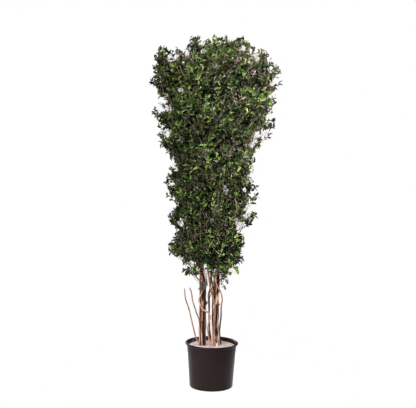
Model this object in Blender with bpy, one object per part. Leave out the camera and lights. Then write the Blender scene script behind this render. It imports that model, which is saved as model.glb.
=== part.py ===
"""Potted pittosporum column: preserved foliage on natural stems, set in plaster in a plain pot.

Metres, +Z up, +X to the viewer's right, +Y away from the viewer. The origin is the middle of the
pot's flat underside.
"""

import math
import random

import bmesh
import bpy
from mathutils import Matrix, Vector
from mathutils.bvhtree import BVHTree
from mathutils.geometry import interpolate_bezier

# Pot and fill
POT_HEIGHT = 0.271
RIM_RADIUS = 0.161
BASE_RADIUS = 0.132
BASE_ROUNDING = 0.005
WALL = 0.0045
RIM_BEAD = 0.0065
BAND_DEPTH = 0.020
BAND_STEP = 0.0015
SHOULDER_RADIUS = 0.1495
INNER_LIP = (SHOULDER_RADIUS - WALL, POT_HEIGHT - 0.009)
INNER_FOOT = (BASE_RADIUS - WALL, WALL)
POT_SIDES = 32
FOOT_STEPS = 3
RIM_STEPS = 7
FILL_TOP = 0.247

# Air left between pieces that touch on the real plant, and kept round every limb
GAP = 0.0003
FILL_GAP = 0.00045
LIMB_CLEARANCE = 0.0012

# Faces that meet at more than this many degrees show an edge
SHARP_ANGLE = 40

# Crown: the furthest leaf tips lie on this outline, as (height, reach) from its axis
TREE_HEIGHT = 2.13
CROWN_X = -0.010
CROWN_REACH = {
    "left": [
        (0.62, 0.06), (0.70, 0.17), (0.80, 0.24), (0.86, 0.27), (0.96, 0.22), (1.03, 0.28), (1.10, 0.23),
        (1.20, 0.295), (1.38, 0.27), (1.52, 0.34), (1.59, 0.32), (1.68, 0.38), (1.77, 0.335), (1.86, 0.40),
        (2.04, 0.36), (TREE_HEIGHT, 0.26)],
    "right": [
        (0.60, 0.08), (0.68, 0.17), (0.79, 0.215), (0.90, 0.20), (1.00, 0.24), (1.06, 0.28), (1.13, 0.22),
        (1.23, 0.28), (1.30, 0.24), (1.44, 0.27), (1.56, 0.35), (1.66, 0.375), (1.76, 0.365), (1.90, 0.402),
        (2.03, 0.34), (TREE_HEIGHT, 0.25)],
}
TOP_FLAT_RADIUS = 0.17
TOP_FALL = 0.5

# Stems from the fill up: routes as (x, y, z), radii at the foot, at the fork and at the tip
FORK_HEIGHT = 0.66
UNDER_FORK = FORK_HEIGHT - 0.03
OVER_FORK = FORK_HEIGHT + 0.08
FOOT = FILL_TOP + GAP
TRUNK_LOBES = 3
CURVE_SAMPLES = 12
UPWARD = Vector((0, 0, 1))
STEMS = {
    "trunk_left": {
        "route": [
            (-0.057, 0.0, FOOT), (-0.059, 0.0, 0.42), (-0.061, 0.0, 0.62), (-0.074, 0.006, 0.78),
            (-0.108, 0.016, 1.10), (-0.128, 0.02, 1.42), (-0.112, 0.014, 1.72), (-0.084, 0.01, 1.955)],
        "radii": (0.0225, 0.0200, 0.0120, 0.0050), "sides": 12, "rings": 14, "lobes": 0.09, "bark": "bark_red"},
    "trunk_right": {
        "route": [
            (0.0225, 0.0, FOOT), (0.020, 0.0, 0.40), (0.0198, 0.0, 0.60), (0.036, -0.004, 0.78),
            (0.084, -0.012, 1.12), (0.116, -0.016, 1.45), (0.108, -0.01, 1.74), (0.080, 0.0, 1.955)],
        "radii": (0.0230, 0.0220, 0.0120, 0.0050), "sides": 12, "rings": 14, "lobes": 0.07, "bark": "bark_light"},
    "stem_front": {
        "route": [
            (0.016, -0.0315, FOOT), (0.013, -0.0305, 0.377), (0.018, -0.030, 0.475), (0.013, -0.0295, 0.508),
            (0.003, -0.028, 0.546), (-0.013, -0.0255, 0.604), (-0.023, -0.027, 0.67), (-0.034, -0.036, 0.76),
            (-0.030, -0.070, 0.98), (-0.018, -0.110, 1.28), (-0.004, -0.130, 1.52), (-0.008, -0.140, 1.755)],
        "radii": (0.0056, 0.0052, 0.0052, 0.0040), "sides": 6, "rings": 26, "lobes": 0.0, "bark": "bark_orange"},
    "stem_middle": {
        "route": [
            (0.006, 0.032, FOOT), (-0.012, 0.030, 0.312), (-0.017, 0.030, 0.38), (-0.020, 0.030, 0.50),
            (-0.0245, 0.030, 0.553), (-0.014, 0.031, 0.598), (-0.010, 0.045, 0.70), (0.0, 0.072, 0.88),
            (0.010, 0.112, 1.20),
            (0.006, 0.132, 1.48), (0.0, 0.142, 1.735)],
        "radii": (0.0062, 0.0056, 0.0055, 0.0040), "sides": 6, "rings": 26, "lobes": 0.0, "bark": "bark_dark"},
    "stem_bowed": {
        "route": [
            (0.056, 0.050, FOOT), (0.047, 0.036, 0.33), (0.054, 0.020, 0.42), (0.055, 0.010, 0.49),
            (0.059, -0.002, 0.535), (0.048, -0.020, 0.583), (0.025, -0.028, 0.625), (0.018, -0.031, 0.66),
            (0.021, -0.040, 0.72)],
        "radii": (0.0050, 0.0046, 0.0046, 0.0040), "sides": 6, "rings": 15, "lobes": 0.0, "bark": "bark_light"},
    "stem_winding": {
        "route": [
            (-0.007, -0.022, FOOT), (-0.018, -0.022, 0.300), (-0.028, -0.024, 0.365), (-0.013, -0.027, 0.424),
            (-0.022, -0.031, 0.454), (-0.060, -0.033, 0.480), (-0.082, -0.028, 0.530), (-0.067, -0.030, 0.574),
            (-0.048, -0.031, 0.616), (-0.045, -0.034, 0.660), (-0.056, -0.048, 0.72)],
        "radii": (0.0052, 0.0046, 0.0044, 0.0038), "sides": 6, "rings": 24, "lobes": 0.0, "bark": "bark_light"},
    "shoot_outer": {
        "route": [
            (-0.081, 0.080, FOOT), (-0.099, 0.080, 0.280), (-0.133, 0.080, 0.410), (-0.146, 0.080, 0.460),
            (-0.167, 0.080, 0.522), (-0.174, 0.080, 0.582)],
        "radii": (0.0048, 0.0040, 0.0038, 0.0034), "sides": 6, "rings": 8, "lobes": 0.0, "bark": "bark_light"},
    "shoot_inner": {
        "route": [
            (-0.062, 0.056, FOOT), (-0.080, 0.052, 0.387), (-0.095, 0.050, 0.434), (-0.120, 0.050, 0.505),
            (-0.130, 0.050, 0.561), (-0.142, 0.050, 0.593)],
        "radii": (0.0048, 0.0040, 0.0038, 0.0034), "sides": 6, "rings": 8, "lobes": 0.0, "bark": "bark_dark"},
}

# Foliage columns: the stem that carries them, the way they face (0 is +X, 90 is +Y), and the
# height of each mass. The last mass of a column marked "tip" stands on its stem's own tip.
COLUMNS = {
    "left": {"stem": "trunk_left", "facing": 180, "heights": (0.80, 1.02, 1.23, 1.47, 1.70, 1.93)},
    "right": {"stem": "trunk_right", "facing": 0, "heights": (0.78, 1.00, 1.22, 1.43, 1.65, 1.90)},
    "front": {"stem": "stem_front", "facing": 270, "heights": (1.00, 1.20, 1.40, 1.60, 1.83), "tip": True},
    "back": {"stem": "stem_middle", "facing": 90, "heights": (0.90, 1.12, 1.34, 1.57, 1.81), "tip": True},
}
SINGLE_MASSES = {
    "low_front_left": {"stem": "stem_winding", "facing": 236, "height": 0.80},
    "low_front_right": {"stem": "stem_bowed", "facing": 300, "height": 0.79},
    "top_left": {"stem": "trunk_left", "facing": 180, "height": 2.04},
    "top_right": {"stem": "trunk_right", "facing": 0, "height": 2.04},
}
FACING_SWING = 16
FACING_TURN = 2.4
CENTRE_SHARE = 0.55
TOP_CENTRE_REACH = 0.10

# Boughs: how far below its mass each leaves the stem, how far it rises and reaches, its sag
# halfway, and its thickness as a share of the stem's
BOUGH_DROP = 0.19
BOUGH_RISE = 0.095
BOUGH_REACH = 0.055
BOUGH_LIFT_STEP = 0.01
BOUGH_BOW = 0.010
BOUGH_SAG = 0.006
BOUGH_SHARE = 0.62
BOUGH_THICKEST = 0.0070
BOUGH_SIDES = 5
BOUGH_STEPS = 3
BOUGH_TIP_RADIUS = 0.0042
ROOT_DEPTH = 0.02

# Twigs: the main stem is tried at each swing and lift until it fits
CELL_MARGIN = 0.003
RAY_STEP = 0.01
MAIN_SWINGS = (0, 14, -14, 28, -28, 42, -42)
MAIN_LIFTS = (0.55, 0.35, 0.8, 1.4, 3.0)
MAIN_LONGEST = 0.6
MAIN_BEND = 0.4
MAIN_STEM_RADIUS = 0.0038
TWIG_RADIUS = 0.0027
TWIG_TIP_RADIUS = 0.0018
TWIG_STRAIGHT = 0.10
MAIN_STEPS = 2
FIRST_SEED = 100
SOUND_SHARE = 0.85
TWIGS_TRIED = 30
TWIG_OPTIONS = 16
TWIG_PLACES = (0.12, 0.92)
TWIG_LONGEST = 0.18
TWIG_SHORTEST = 0.02
TWIG_SPREAD = (40, 120)
TWIG_LIFT = 0.25
TWIG_SWAY = 0.12
GOLDEN_ANGLE = 137.5

# Leaves, each standing for a small spray of real ones
LEAF_LENGTH = 0.125
LEAF_WIDTH = 0.062
LEAF_THICKNESS = 0.003
LEAF_THICKEST = 0.12
LEAF_WIDEST = 0.45
LEAF_FOLD = 0.005
LEAF_SPACING = 0.04
LEAF_SETBACK = 0.003
LEAF_START = 0.6
LEAF_TILT = 50
LEAF_END_TILT = 12
LEAF_SIZES = (1.15, 0.95, 0.75)
LEAF_SWINGS = (0, 50, -50, 100, -100)
LEAF_ROOT = 0.0006
LEAF_APART = 0.050
LEAF_UPTURN = 0.45
LEAF_SWAY = 0.6
LEAVES_PER_MASS = 15

MATERIALS = {
    "pot_black": ((0.022, 0.018, 0.017), 0.42),
    "plaster": ((0.80, 0.70, 0.66), 0.9),
    "bark_red": ((0.22, 0.085, 0.05), 0.8),
    "bark_light": ((0.42, 0.20, 0.13), 0.8),
    "bark_orange": ((0.45, 0.16, 0.07), 0.75),
    "bark_dark": ((0.06, 0.035, 0.03), 0.85),
    "leaf_green": ((0.035, 0.085, 0.02), 0.5),
}


def clear_scene():
    for thing in list(bpy.data.objects):
        bpy.data.objects.remove(thing, do_unlink=True)


def material(name):
    """A Principled material of this name, made once."""
    if name in bpy.data.materials:
        return bpy.data.materials[name]
    colour, roughness = MATERIALS[name]
    made = bpy.data.materials.new(name)
    made.use_nodes = True
    shader = made.node_tree.nodes["Principled BSDF"]
    shader.inputs["Base Color"].default_value = (*colour, 1.0)
    shader.inputs["Roughness"].default_value = roughness
    shader.inputs["Metallic"].default_value = 0.0
    made.diffuse_color = (*colour, 1.0)
    return made


def add_object(name, bm, finish, collection=None):
    """Turns a bmesh into an object with one material, shaded smooth where it is round."""
    bmesh.ops.recalc_face_normals(bm, faces=bm.faces)
    mesh = bpy.data.meshes.new(name)
    bm.to_mesh(mesh)
    bm.free()
    mesh.materials.append(material(finish))
    mesh.shade_smooth()
    mesh.set_sharp_from_angle(angle=math.radians(SHARP_ANGLE))
    thing = bpy.data.objects.new(name, mesh)
    (collection or bpy.context.scene.collection).objects.link(thing)
    return thing


def turned(name, profile, sides, finish):
    """A solid of revolution about Z from (radius, height) points, both ends on the axis."""
    bm = bmesh.new()
    points = [bm.verts.new((radius, 0.0, height)) for radius, height in profile]
    edges = [bm.edges.new(pair) for pair in zip(points, points[1:])]
    bmesh.ops.spin(bm, geom=points + edges, axis=(0, 0, 1), cent=(0, 0, 0), angle=2 * math.pi,
                   steps=sides, use_merge=True)
    bmesh.ops.remove_doubles(bm, verts=bm.verts, dist=1e-6)
    return add_object(name, bm, finish)


def arc(centre, radius, start, end, steps):
    """Points of an arc in the turned profile's plane, in degrees from +X."""
    angles = [math.radians(start + (end - start) * i / steps) for i in range(steps + 1)]
    return [(centre[0] + radius * math.cos(a), centre[1] + radius * math.sin(a)) for a in angles]


def make_pot():
    """The pot: a tapering shell with a rounded foot, a shallow band and a rolled rim."""
    band_foot = POT_HEIGHT - BAND_DEPTH
    band_radius = SHOULDER_RADIUS + BAND_STEP
    foot = arc((BASE_RADIUS - BASE_ROUNDING, BASE_ROUNDING), BASE_ROUNDING, -90, 0, FOOT_STEPS)
    band = [(SHOULDER_RADIUS, band_foot), (band_radius, band_foot + BAND_STEP),
            (band_radius, POT_HEIGHT - 2 * RIM_BEAD)]
    rim = arc((RIM_RADIUS - RIM_BEAD, POT_HEIGHT - RIM_BEAD), RIM_BEAD, -80, 110, RIM_STEPS)
    turned("pot", [(0.0, 0.0), *foot, *band, *rim, INNER_LIP, INNER_FOOT, (0.0, WALL)], POT_SIDES, "pot_black")


def make_fill():
    """The plaster that the stems stand in, down to the pot's floor."""
    slope = (INNER_LIP[0] - INNER_FOOT[0]) / (INNER_LIP[1] - INNER_FOOT[1])
    floor = WALL + GAP

    def radius(height):
        return INNER_FOOT[0] + slope * (height - INNER_FOOT[1]) - FILL_GAP

    turned("fill", [(0.0, floor), (radius(floor), floor), (radius(FILL_TOP), FILL_TOP), (0.0, FILL_TOP)],
           POT_SIDES, "plaster")


def smooth_route(points, count):
    """Evenly spaced points on a smooth curve through the given ones."""
    points = [Vector(p) for p in points]
    ends = [points[0] * 2 - points[1], *points, points[-1] * 2 - points[-2]]
    dense = []
    for before, here, after, beyond in zip(ends, ends[1:], ends[2:], ends[3:]):
        leave, arrive = here + (after - before) / 6, after - (beyond - here) / 6
        dense += interpolate_bezier(here, leave, arrive, after, CURVE_SAMPLES)[:-1]
    dense.append(points[-1])
    lengths = [0.0]
    for a, b in zip(dense, dense[1:]):
        lengths.append(lengths[-1] + (b - a).length)
    route, i = [], 0
    for k in range(count):
        want = lengths[-1] * k / (count - 1)
        while i < len(dense) - 2 and lengths[i + 1] < want:
            i += 1
        share = (want - lengths[i]) / max(lengths[i + 1] - lengths[i], 1e-9)
        route.append(dense[i].lerp(dense[i + 1], min(share, 1.0)))
    return route


def ring_frames(route, foot_heading=None):
    """A turning frame at each point of a route, carried along it without twist."""
    frames, side = [], None
    for i, point in enumerate(route):
        ahead = (route[min(i + 1, len(route) - 1)] - route[max(i - 1, 0)]).normalized()
        if foot_heading and i == 0:
            ahead = foot_heading
        if side is None:
            side = ahead.orthogonal().normalized() if abs(ahead.z) < 0.99 else Vector((1, 0, 0))
        side = (side - ahead * side.dot(ahead)).normalized()
        across = ahead.cross(side)
        frame = Matrix((side, across, ahead)).transposed().to_4x4()
        frame.translation = point
        frames.append(frame)
    return frames


def sweep(bm, route, radii, sides, lobes=0.0, foot_heading=None):
    """A closed tapering limb: rings set along a route, bridged, and capped at both ends."""
    rings = []
    for frame, radius in zip(ring_frames(route, foot_heading), radii):
        verts = bmesh.ops.create_circle(bm, segments=sides, radius=radius)["verts"]
        for vert in verts:
            bulge = 1 + lobes * math.cos(TRUNK_LOBES * math.atan2(vert.co.y, vert.co.x))
            vert.co = frame @ (vert.co * bulge)
        rings.append(verts)
    for low, high in zip(rings, rings[1:]):
        for i in range(sides):
            j = (i + 1) % sides
            bm.faces.new((low[i], low[j], high[j], high[i]))
    bm.faces.new(list(reversed(rings[0])))
    bm.faces.new(rings[-1])


def taper_along(route, radii):
    """Radius at each point of a stem's route, from the foot's, fork's and tip's radii."""
    foot, under_fork, over_fork, tip = radii
    top = route[-1].z
    known = [(FOOT, foot), (UNDER_FORK, under_fork), (OVER_FORK, over_fork), (top, tip)]
    if top <= OVER_FORK:
        known = [(FOOT, foot), (top, tip)]
    return [read_table(known, point.z) for point in route]


def even_taper(thick, thin, steps):
    return [thick + (thin - thick) * i / steps for i in range(steps + 1)]


def read_table(table, at):
    """Straight-line value of a table of (position, value) at a position."""
    if at <= table[0][0]:
        return table[0][1]
    for (x0, y0), (x1, y1) in zip(table, table[1:]):
        if at <= x1:
            return y0 + (y1 - y0) * (at - x0) / (x1 - x0)
    return table[-1][1]


def stem_shape(name, swell=0.0):
    """Route, radii and bmesh of a stem, made fatter by swell for cutting and clearance."""
    spec = STEMS[name]
    route = smooth_route(spec["route"], spec["rings"])
    radii = [radius + swell for radius in taper_along(route, spec["radii"])]
    bm = bmesh.new()
    sweep(bm, route, radii, spec["sides"], spec["lobes"], UPWARD)
    return route, radii, bm


def point_at_height(route, radii, height):
    """Where a stem passes a height, and its radius there."""
    for (a, ra), (b, rb) in zip(zip(route, radii), zip(route[1:], radii[1:])):
        if a.z <= height <= b.z:
            share = (height - a.z) / (b.z - a.z)
            return a.lerp(b, share), ra + (rb - ra) * share
    return route[-1].copy(), radii[-1]


def outward(facing):
    return Vector((math.cos(math.radians(facing)), math.sin(math.radians(facing)), 0.0))


def crown_reach(height, direction):
    """How far the crown reaches at a height, in a level direction from its axis."""
    left = read_table(CROWN_REACH["left"], height)
    right = read_table(CROWN_REACH["right"], height)
    side = right if direction.x > 0 else left
    share = direction.x ** 2 / max(direction.x ** 2 + direction.y ** 2, 1e-12)
    return side * share + (left + right) / 2 * (1 - share)


def in_crown(point):
    """Whether a point lies inside the crown's outline."""
    level = Vector((point.x - CROWN_X, point.y, 0.0))
    lowest = min(CROWN_REACH["left"][0][0], CROWN_REACH["right"][0][0])
    roof = TREE_HEIGHT - TOP_FALL * max(level.length - TOP_FLAT_RADIUS, 0.0)
    return lowest < point.z < roof and level.length < crown_reach(point.z, level)


def mass_plan():
    """Each mass's stem, facing, centre and whether it stands on the stem's tip."""
    plan = {}
    for column, spec in COLUMNS.items():
        for i, height in enumerate(spec["heights"]):
            facing = spec["facing"] + FACING_SWING * math.sin(FACING_TURN * i + spec["facing"])
            on_tip = spec.get("tip", False) and i == len(spec["heights"]) - 1
            plan[f"{column}_{i + 1}"] = (spec["stem"], facing, height, on_tip)
    for name, spec in SINGLE_MASSES.items():
        plan[name] = (spec["stem"], spec["facing"], spec["height"], True)
    return {
        name: {"stem": stem, "facing": facing, "on_tip": on_tip, "centre": mass_centre(name, facing, height)}
        for name, (stem, facing, height, on_tip) in plan.items()
    }


def mass_centre(name, facing, height):
    direction = outward(facing)
    reach = TOP_CENTRE_REACH if name.startswith("top") else crown_reach(height, direction) * CENTRE_SHARE
    return Vector((CROWN_X, 0.0, height)) + direction * reach


class Cell:
    """The space of one mass: inside the crown, and nearer its centre than to any other's."""

    def __init__(self, name, plan):
        self.centre = plan[name]["centre"]
        self.walls = []
        for other, spec in plan.items():
            if other != name:
                away = spec["centre"] - self.centre
                self.walls.append((away.normalized(), (spec["centre"] + self.centre) / 2))

    def holds(self, point):
        return in_crown(point) and all((point - on).dot(away) < -CELL_MARGIN for away, on in self.walls)

    def ray(self, start, direction, longest):
        """How far a straight line stays in the cell, up to a longest value."""
        gone = 0.0
        while gone < longest and self.holds(start + direction * (gone + RAY_STEP)):
            gone += RAY_STEP
        return gone


def tree_of(bm):
    """A search tree of a bmesh, which is freed."""
    found = BVHTree.FromBMesh(bm)
    bm.free()
    return found


def make_stems():
    """All stems from the fill up, with what boughs and foliage need to keep clear of them."""
    stems, clearance = {}, {}
    for name, spec in STEMS.items():
        route, radii, bm = stem_shape(name)
        add_object(name, bm, spec["bark"])
        stems[name] = (route, radii)
        clearance[name] = tree_of(stem_shape(name, LIMB_CLEARANCE)[2])
    return stems, clearance


def make_boughs(plan, cells, stems, clearance):
    """One bough from its stem to each mass that isn't on a stem's tip. Returns each mass's root."""
    roots, cutters = {}, {}
    for name, spec in plan.items():
        route, radii = stems[spec["stem"]]
        if spec["on_tip"]:
            heading = (route[-1] - route[-2]).normalized()
            roots[name] = (route[-1] + heading * GAP, heading, spec["stem"])
            continue
        leave_height = max(spec["centre"].z - BOUGH_DROP, UNDER_FORK)
        start, stem_radius = point_at_height(route, radii, leave_height)
        away = outward(spec["facing"])
        radius = min(stem_radius * BOUGH_SHARE, BOUGH_THICKEST)
        end = start + away * (stem_radius + BOUGH_REACH) + UPWARD * BOUGH_RISE
        while not cells[name].holds(end - UPWARD * ROOT_DEPTH):
            end += UPWARD * BOUGH_LIFT_STEP
        middle = start.lerp(end, 0.5) + away * BOUGH_BOW - UPWARD * BOUGH_SAG
        limb = smooth_route([start, middle, end], BOUGH_STEPS + 1)
        radii_out = even_taper(radius, BOUGH_TIP_RADIUS, BOUGH_STEPS)
        bm = bmesh.new()
        sweep(bm, limb, radii_out, BOUGH_SIDES)
        bough = add_object(f"bough_{name}", bm, STEMS[spec["stem"]]["bark"])
        if spec["stem"] not in cutters:
            cutter = add_object(f"cutter_{spec['stem']}", stem_shape(spec["stem"], GAP)[2], "bark_dark")
            cutter.hide_render = True
            cutter.display_type = "WIRE"
            cutters[spec["stem"]] = cutter
        cut = bough.modifiers.new("seat", "BOOLEAN")
        cut.operation = "DIFFERENCE"
        cut.object = cutters[spec["stem"]]
        fat = bmesh.new()
        sweep(fat, limb, [r + LIMB_CLEARANCE for r in radii_out], BOUGH_SIDES)
        clearance[f"bough_{name}"] = tree_of(fat)
        heading = (limb[-1] - limb[-2]).normalized()
        roots[name] = (limb[-1] + heading * GAP, heading, f"bough_{name}")
    return roots


def leaf_frame(at, along, facing_up):
    """A frame whose Z runs along a leaf, X across it and Y out of its upper face."""
    across = along.cross(facing_up)
    across = across.normalized() if across.length > 1e-6 else along.orthogonal().normalized()
    upper = across.cross(along).normalized()
    frame = Matrix((across, upper, along)).transposed().to_4x4()
    frame.translation = at
    return frame


def leaf_shape(at, along, facing_up, length):
    """A pointed leaf of eight faces: thick near its sunk root, widest halfway, its edges folded up."""
    bm = bmesh.new()
    bmesh.ops.create_uvsphere(bm, u_segments=4, v_segments=2, radius=1.0)
    scale = length / LEAF_LENGTH
    frame = leaf_frame(at - along * LEAF_ROOT, along, facing_up)
    for vert in bm.verts:
        edge, face, pole = vert.co
        run = (pole + 1) / 2 if abs(pole) > 0.5 else (LEAF_WIDEST if abs(edge) > 0.5 else LEAF_THICKEST)
        across = edge * LEAF_WIDTH * scale / 2
        lift = face * LEAF_THICKNESS / 2 + LEAF_FOLD * abs(edge)
        vert.co = frame @ Vector((across, lift, run * (length + LEAF_ROOT)))
    return bm


def twig_route(start, heading, length, rng):
    """A twig that leaves on its heading and lifts towards the light, in even steps."""
    points, steps = [start.copy()], 1 if length < TWIG_STRAIGHT else 2
    for _ in range(steps):
        sway = Vector((rng.uniform(-TWIG_SWAY, TWIG_SWAY), rng.uniform(-TWIG_SWAY, TWIG_SWAY), 0.0))
        heading = (heading + sway + UPWARD * TWIG_LIFT / steps).normalized()
        points.append(points[-1] + heading * length / steps)
    return points


def spread_from(heading, turn, angle):
    """A direction that leaves a heading at an angle, turned about it."""
    side = heading.orthogonal().normalized()
    side.rotate(Matrix.Rotation(turn, 3, heading))
    return (heading * math.cos(angle) + side * math.sin(angle)).normalized()


class Mass:
    """Grows one mass of foliage inside its cell, and keeps it clear of limbs and of itself."""

    def __init__(self, name, cell, root, clearance, rng):
        self.name, self.cell, self.rng = name, cell, rng
        self.start, self.heading, self.own_limb = root
        self.limbs = clearance
        self.twigs, self.leaves = [], []
        self.grown, self.bearers, self.middles = [], [], []

    def fits(self, bm, skip=()):
        """Whether a shape lies in the cell and touches neither a limb nor what has grown."""
        if not all(self.cell.holds(vert.co) for vert in bm.verts):
            return False
        own = BVHTree.FromBMesh(bm)
        if any(own.overlap(tree) for limb, tree in self.limbs.items() if limb not in skip):
            return False
        return not any(own.overlap(tree) for tag, tree in self.grown if tag not in skip)

    def add_twig(self, route, radii, tag, parent, heading=None):
        """Keeps a three-sided twig if it fits."""
        bm = bmesh.new()
        sweep(bm, route, radii, 3, foot_heading=heading)
        if not self.fits(bm, skip=(parent,)):
            bm.free()
            return False
        self.grown.append((tag, BVHTree.FromBMesh(bm)))
        self.twigs.append(bm)
        return True

    def add_leaf(self, at, parent, angle, turn):
        """Keeps a leaf if it fits, after a few tries at other turns and sizes."""
        point, heading = at
        for size in LEAF_SIZES:
            for swing in LEAF_SWINGS:
                along = spread_from(heading, turn + math.radians(swing), math.radians(angle))
                middle = point + along * LEAF_LENGTH * size / 2
                if any((middle - other).length < LEAF_APART for other in self.middles):
                    continue
                away = Vector((point.x - CROWN_X, point.y, 0.0)).normalized()
                sway = Vector([self.rng.uniform(-LEAF_SWAY, LEAF_SWAY) for _ in range(3)])
                bm = leaf_shape(point, along, away + UPWARD * LEAF_UPTURN + sway, LEAF_LENGTH * size)
                if self.fits(bm, skip=(parent,)):
                    self.grown.append(("leaf", BVHTree.FromBMesh(bm)))
                    self.leaves.append(bm)
                    self.middles.append(middle)
                    return
                bm.free()

    def leaves_along(self, route, tag, turn):
        """A leaf at the end of a twig, then leaves set alternately back along it."""
        length = route_length(route)
        self.add_leaf(place_on(route, length - LEAF_SETBACK), tag, LEAF_END_TILT, turn)
        for i in range(round(length / LEAF_SPACING)):
            if len(self.leaves) < LEAVES_PER_MASS:
                place = place_on(route, length - LEAF_SPACING * (i + LEAF_START))
                self.add_leaf(place, tag, LEAF_TILT, turn + math.pi * i)

    def grow_main(self, facing):
        """The main stem, from the bough's tip towards the far upper corner of the cell."""
        for swing in MAIN_SWINGS:
            away = outward(facing + swing)
            for lift in MAIN_LIFTS:
                aim = (away + Vector((0, 0, lift))).normalized()
                length = self.cell.ray(self.start, aim, MAIN_LONGEST) - LEAF_LENGTH
                if length < TWIG_SHORTEST:
                    continue
                end = self.start + aim * length
                bend = self.start + self.heading * length * MAIN_BEND
                route = interpolate_bezier(self.start, bend, bend.lerp(end, 0.5), end, MAIN_STEPS + 1)
                radii = even_taper(MAIN_STEM_RADIUS, TWIG_TIP_RADIUS, MAIN_STEPS)
                if self.add_twig(route, radii, "main", self.own_limb, self.heading):
                    return route
        raise ValueError(f"no main stem fits in {self.name}")

    def candidate(self, number):
        """A place, heading and length for a new side twig, from the seeded rule."""
        tag, route = self.rng.choice(self.bearers)
        at, heading = place_on(route, route_length(route) * self.rng.uniform(*TWIG_PLACES))
        turn = math.radians(GOLDEN_ANGLE) * number
        out = spread_from(heading, turn, math.radians(self.rng.uniform(*TWIG_SPREAD)))
        room = self.cell.ray(at, out, TWIG_LONGEST + LEAF_LENGTH) - LEAF_LENGTH
        return tag, at, out, room, turn

    def emptiness(self, candidate):
        """How far a candidate's end leaf would lie from the nearest leaf."""
        at, out, room = candidate[1:4]
        middle = at + out * (room + LEAF_LENGTH / 2)
        return min([(middle - other).length for other in self.middles], default=1.0)

    def grow(self, facing):
        """Main stem, then side twigs, the emptiest places first, each with its leaves."""
        main = self.grow_main(facing)
        self.bearers.append(("main", main))
        self.leaves_along(main, "main", self.rng.uniform(0, 2 * math.pi))
        for step in range(TWIGS_TRIED):
            if len(self.leaves) >= LEAVES_PER_MASS:
                break
            options = [self.candidate(step * TWIG_OPTIONS + k) for k in range(TWIG_OPTIONS)]
            options = [option for option in options if option[3] > TWIG_SHORTEST]
            options.sort(key=self.emptiness, reverse=True)
            for parent, at, out, room, turn in options[:TWIG_OPTIONS // 2]:
                route, tag = twig_route(at, out, room, self.rng), f"twig_{step}"
                radii = even_taper(TWIG_RADIUS, TWIG_TIP_RADIUS, len(route) - 1)
                if not self.add_twig(route, radii, tag, parent):
                    continue
                had = len(self.leaves)
                self.leaves_along(route, tag, turn)
                if len(self.leaves) > had:
                    self.bearers.append((tag, route))
                    break
                self.grown.pop()
                self.twigs.pop().free()


def route_length(route):
    return sum((b - a).length for a, b in zip(route, route[1:]))


def place_on(route, distance):
    """The point and heading at a distance along a route."""
    gone = 0.0
    for a, b in zip(route, route[1:]):
        step = (b - a).length
        if gone + step >= distance or b is route[-1]:
            return a.lerp(b, min(max((distance - gone) / step, 0.0), 1.0)), (b - a).normalized()
        gone += step


def fuse(name, shapes, finish):
    """One solid from overlapping closed shapes, by one Boolean union. Returns whether it is sound."""
    whole = sum(shape.calc_volume() for shape in shapes)
    group = bpy.data.collections.new(name)
    bpy.context.scene.collection.children.link(group)
    base = add_object(f"foliage_{name}", shapes[0], finish)
    members = [add_object(f"{name}_{i}", shape, finish, group) for i, shape in enumerate(shapes[1:])]
    union = base.modifiers.new("fuse", "BOOLEAN")
    union.operation = "UNION"
    union.operand_type = "COLLECTION"
    union.collection = group
    fused = first_sound_union(base, union, whole * SOUND_SHARE)
    base.modifiers.remove(union)
    for thing in members:
        bpy.data.objects.remove(thing, do_unlink=True)
    bpy.data.collections.remove(group)
    if fused is None:
        bpy.data.objects.remove(base, do_unlink=True)
        return False
    base.data = fused
    return True


def first_sound_union(base, union, least_volume):
    """The union's mesh by the first solver that gives one sound body."""
    for solver in ("EXACT", "MANIFOLD"):
        union.solver = solver
        mesh = bpy.data.meshes.new_from_object(base.evaluated_get(bpy.context.evaluated_depsgraph_get()))
        keep_main_body(mesh)
        if is_sound(mesh, least_volume):
            return mesh
    return None


def is_sound(mesh, least_volume):
    """Whether the mesh is closed, complete, and no two of its parts meet at a lone point or edge."""
    bm = bmesh.new()
    bm.from_mesh(mesh)
    closed = all(edge.is_manifold for edge in bm.edges) and all(vert.is_manifold for vert in bm.verts)
    complete = bm.calc_volume() > least_volume
    bm.free()
    return closed and complete


def keep_main_body(mesh):
    """Drops loose scraps, and the shell of any hollow that fusing sealed."""
    bm = bmesh.new()
    bm.from_mesh(mesh)
    bmesh.ops.triangulate(bm, faces=bm.faces)
    left, bodies = set(bm.verts), []
    while left:
        body, edge = set(), [next(iter(left))]
        while edge:
            vert = edge.pop()
            if vert not in body:
                body.add(vert)
                edge += [e.other_vert(vert) for e in vert.link_edges]
        left -= body
        bodies.append(body)
    largest = max(bodies, key=len)
    bmesh.ops.delete(bm, geom=[v for v in bm.verts if v not in largest], context="VERTS")
    bm.to_mesh(mesh)
    bm.free()


def make_foliage(plan, cells, roots, clearance):
    """Every mass, grown by the same seeded rule, again from another seed if it doesn't fuse soundly."""
    for number, (name, spec) in enumerate(plan.items()):
        seed, sound = FIRST_SEED + number, False
        while not sound:
            mass = Mass(name, cells[name], roots[name], clearance, random.Random(seed))
            mass.grow(spec["facing"])
            sound = fuse(name, mass.twigs + mass.leaves, "leaf_green")
            seed += len(plan)


def main():
    clear_scene()
    make_pot()
    make_fill()
    stems, clearance = make_stems()
    plan = mass_plan()
    cells = {name: Cell(name, plan) for name in plan}
    roots = make_boughs(plan, cells, stems, clearance)
    make_foliage(plan, cells, roots, clearance)


main()
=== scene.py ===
"""The looks of a potted pittosporum column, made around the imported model.

Metres, in the model's frame: +X to the viewer's right, +Y away from the viewer, +Z up, and the origin in
the middle of the pot's flat underside. The foliage grows on from the stems by the same rule as in the
solids, carried on to finer twigs and to leaves of life size.
"""

import math

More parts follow.
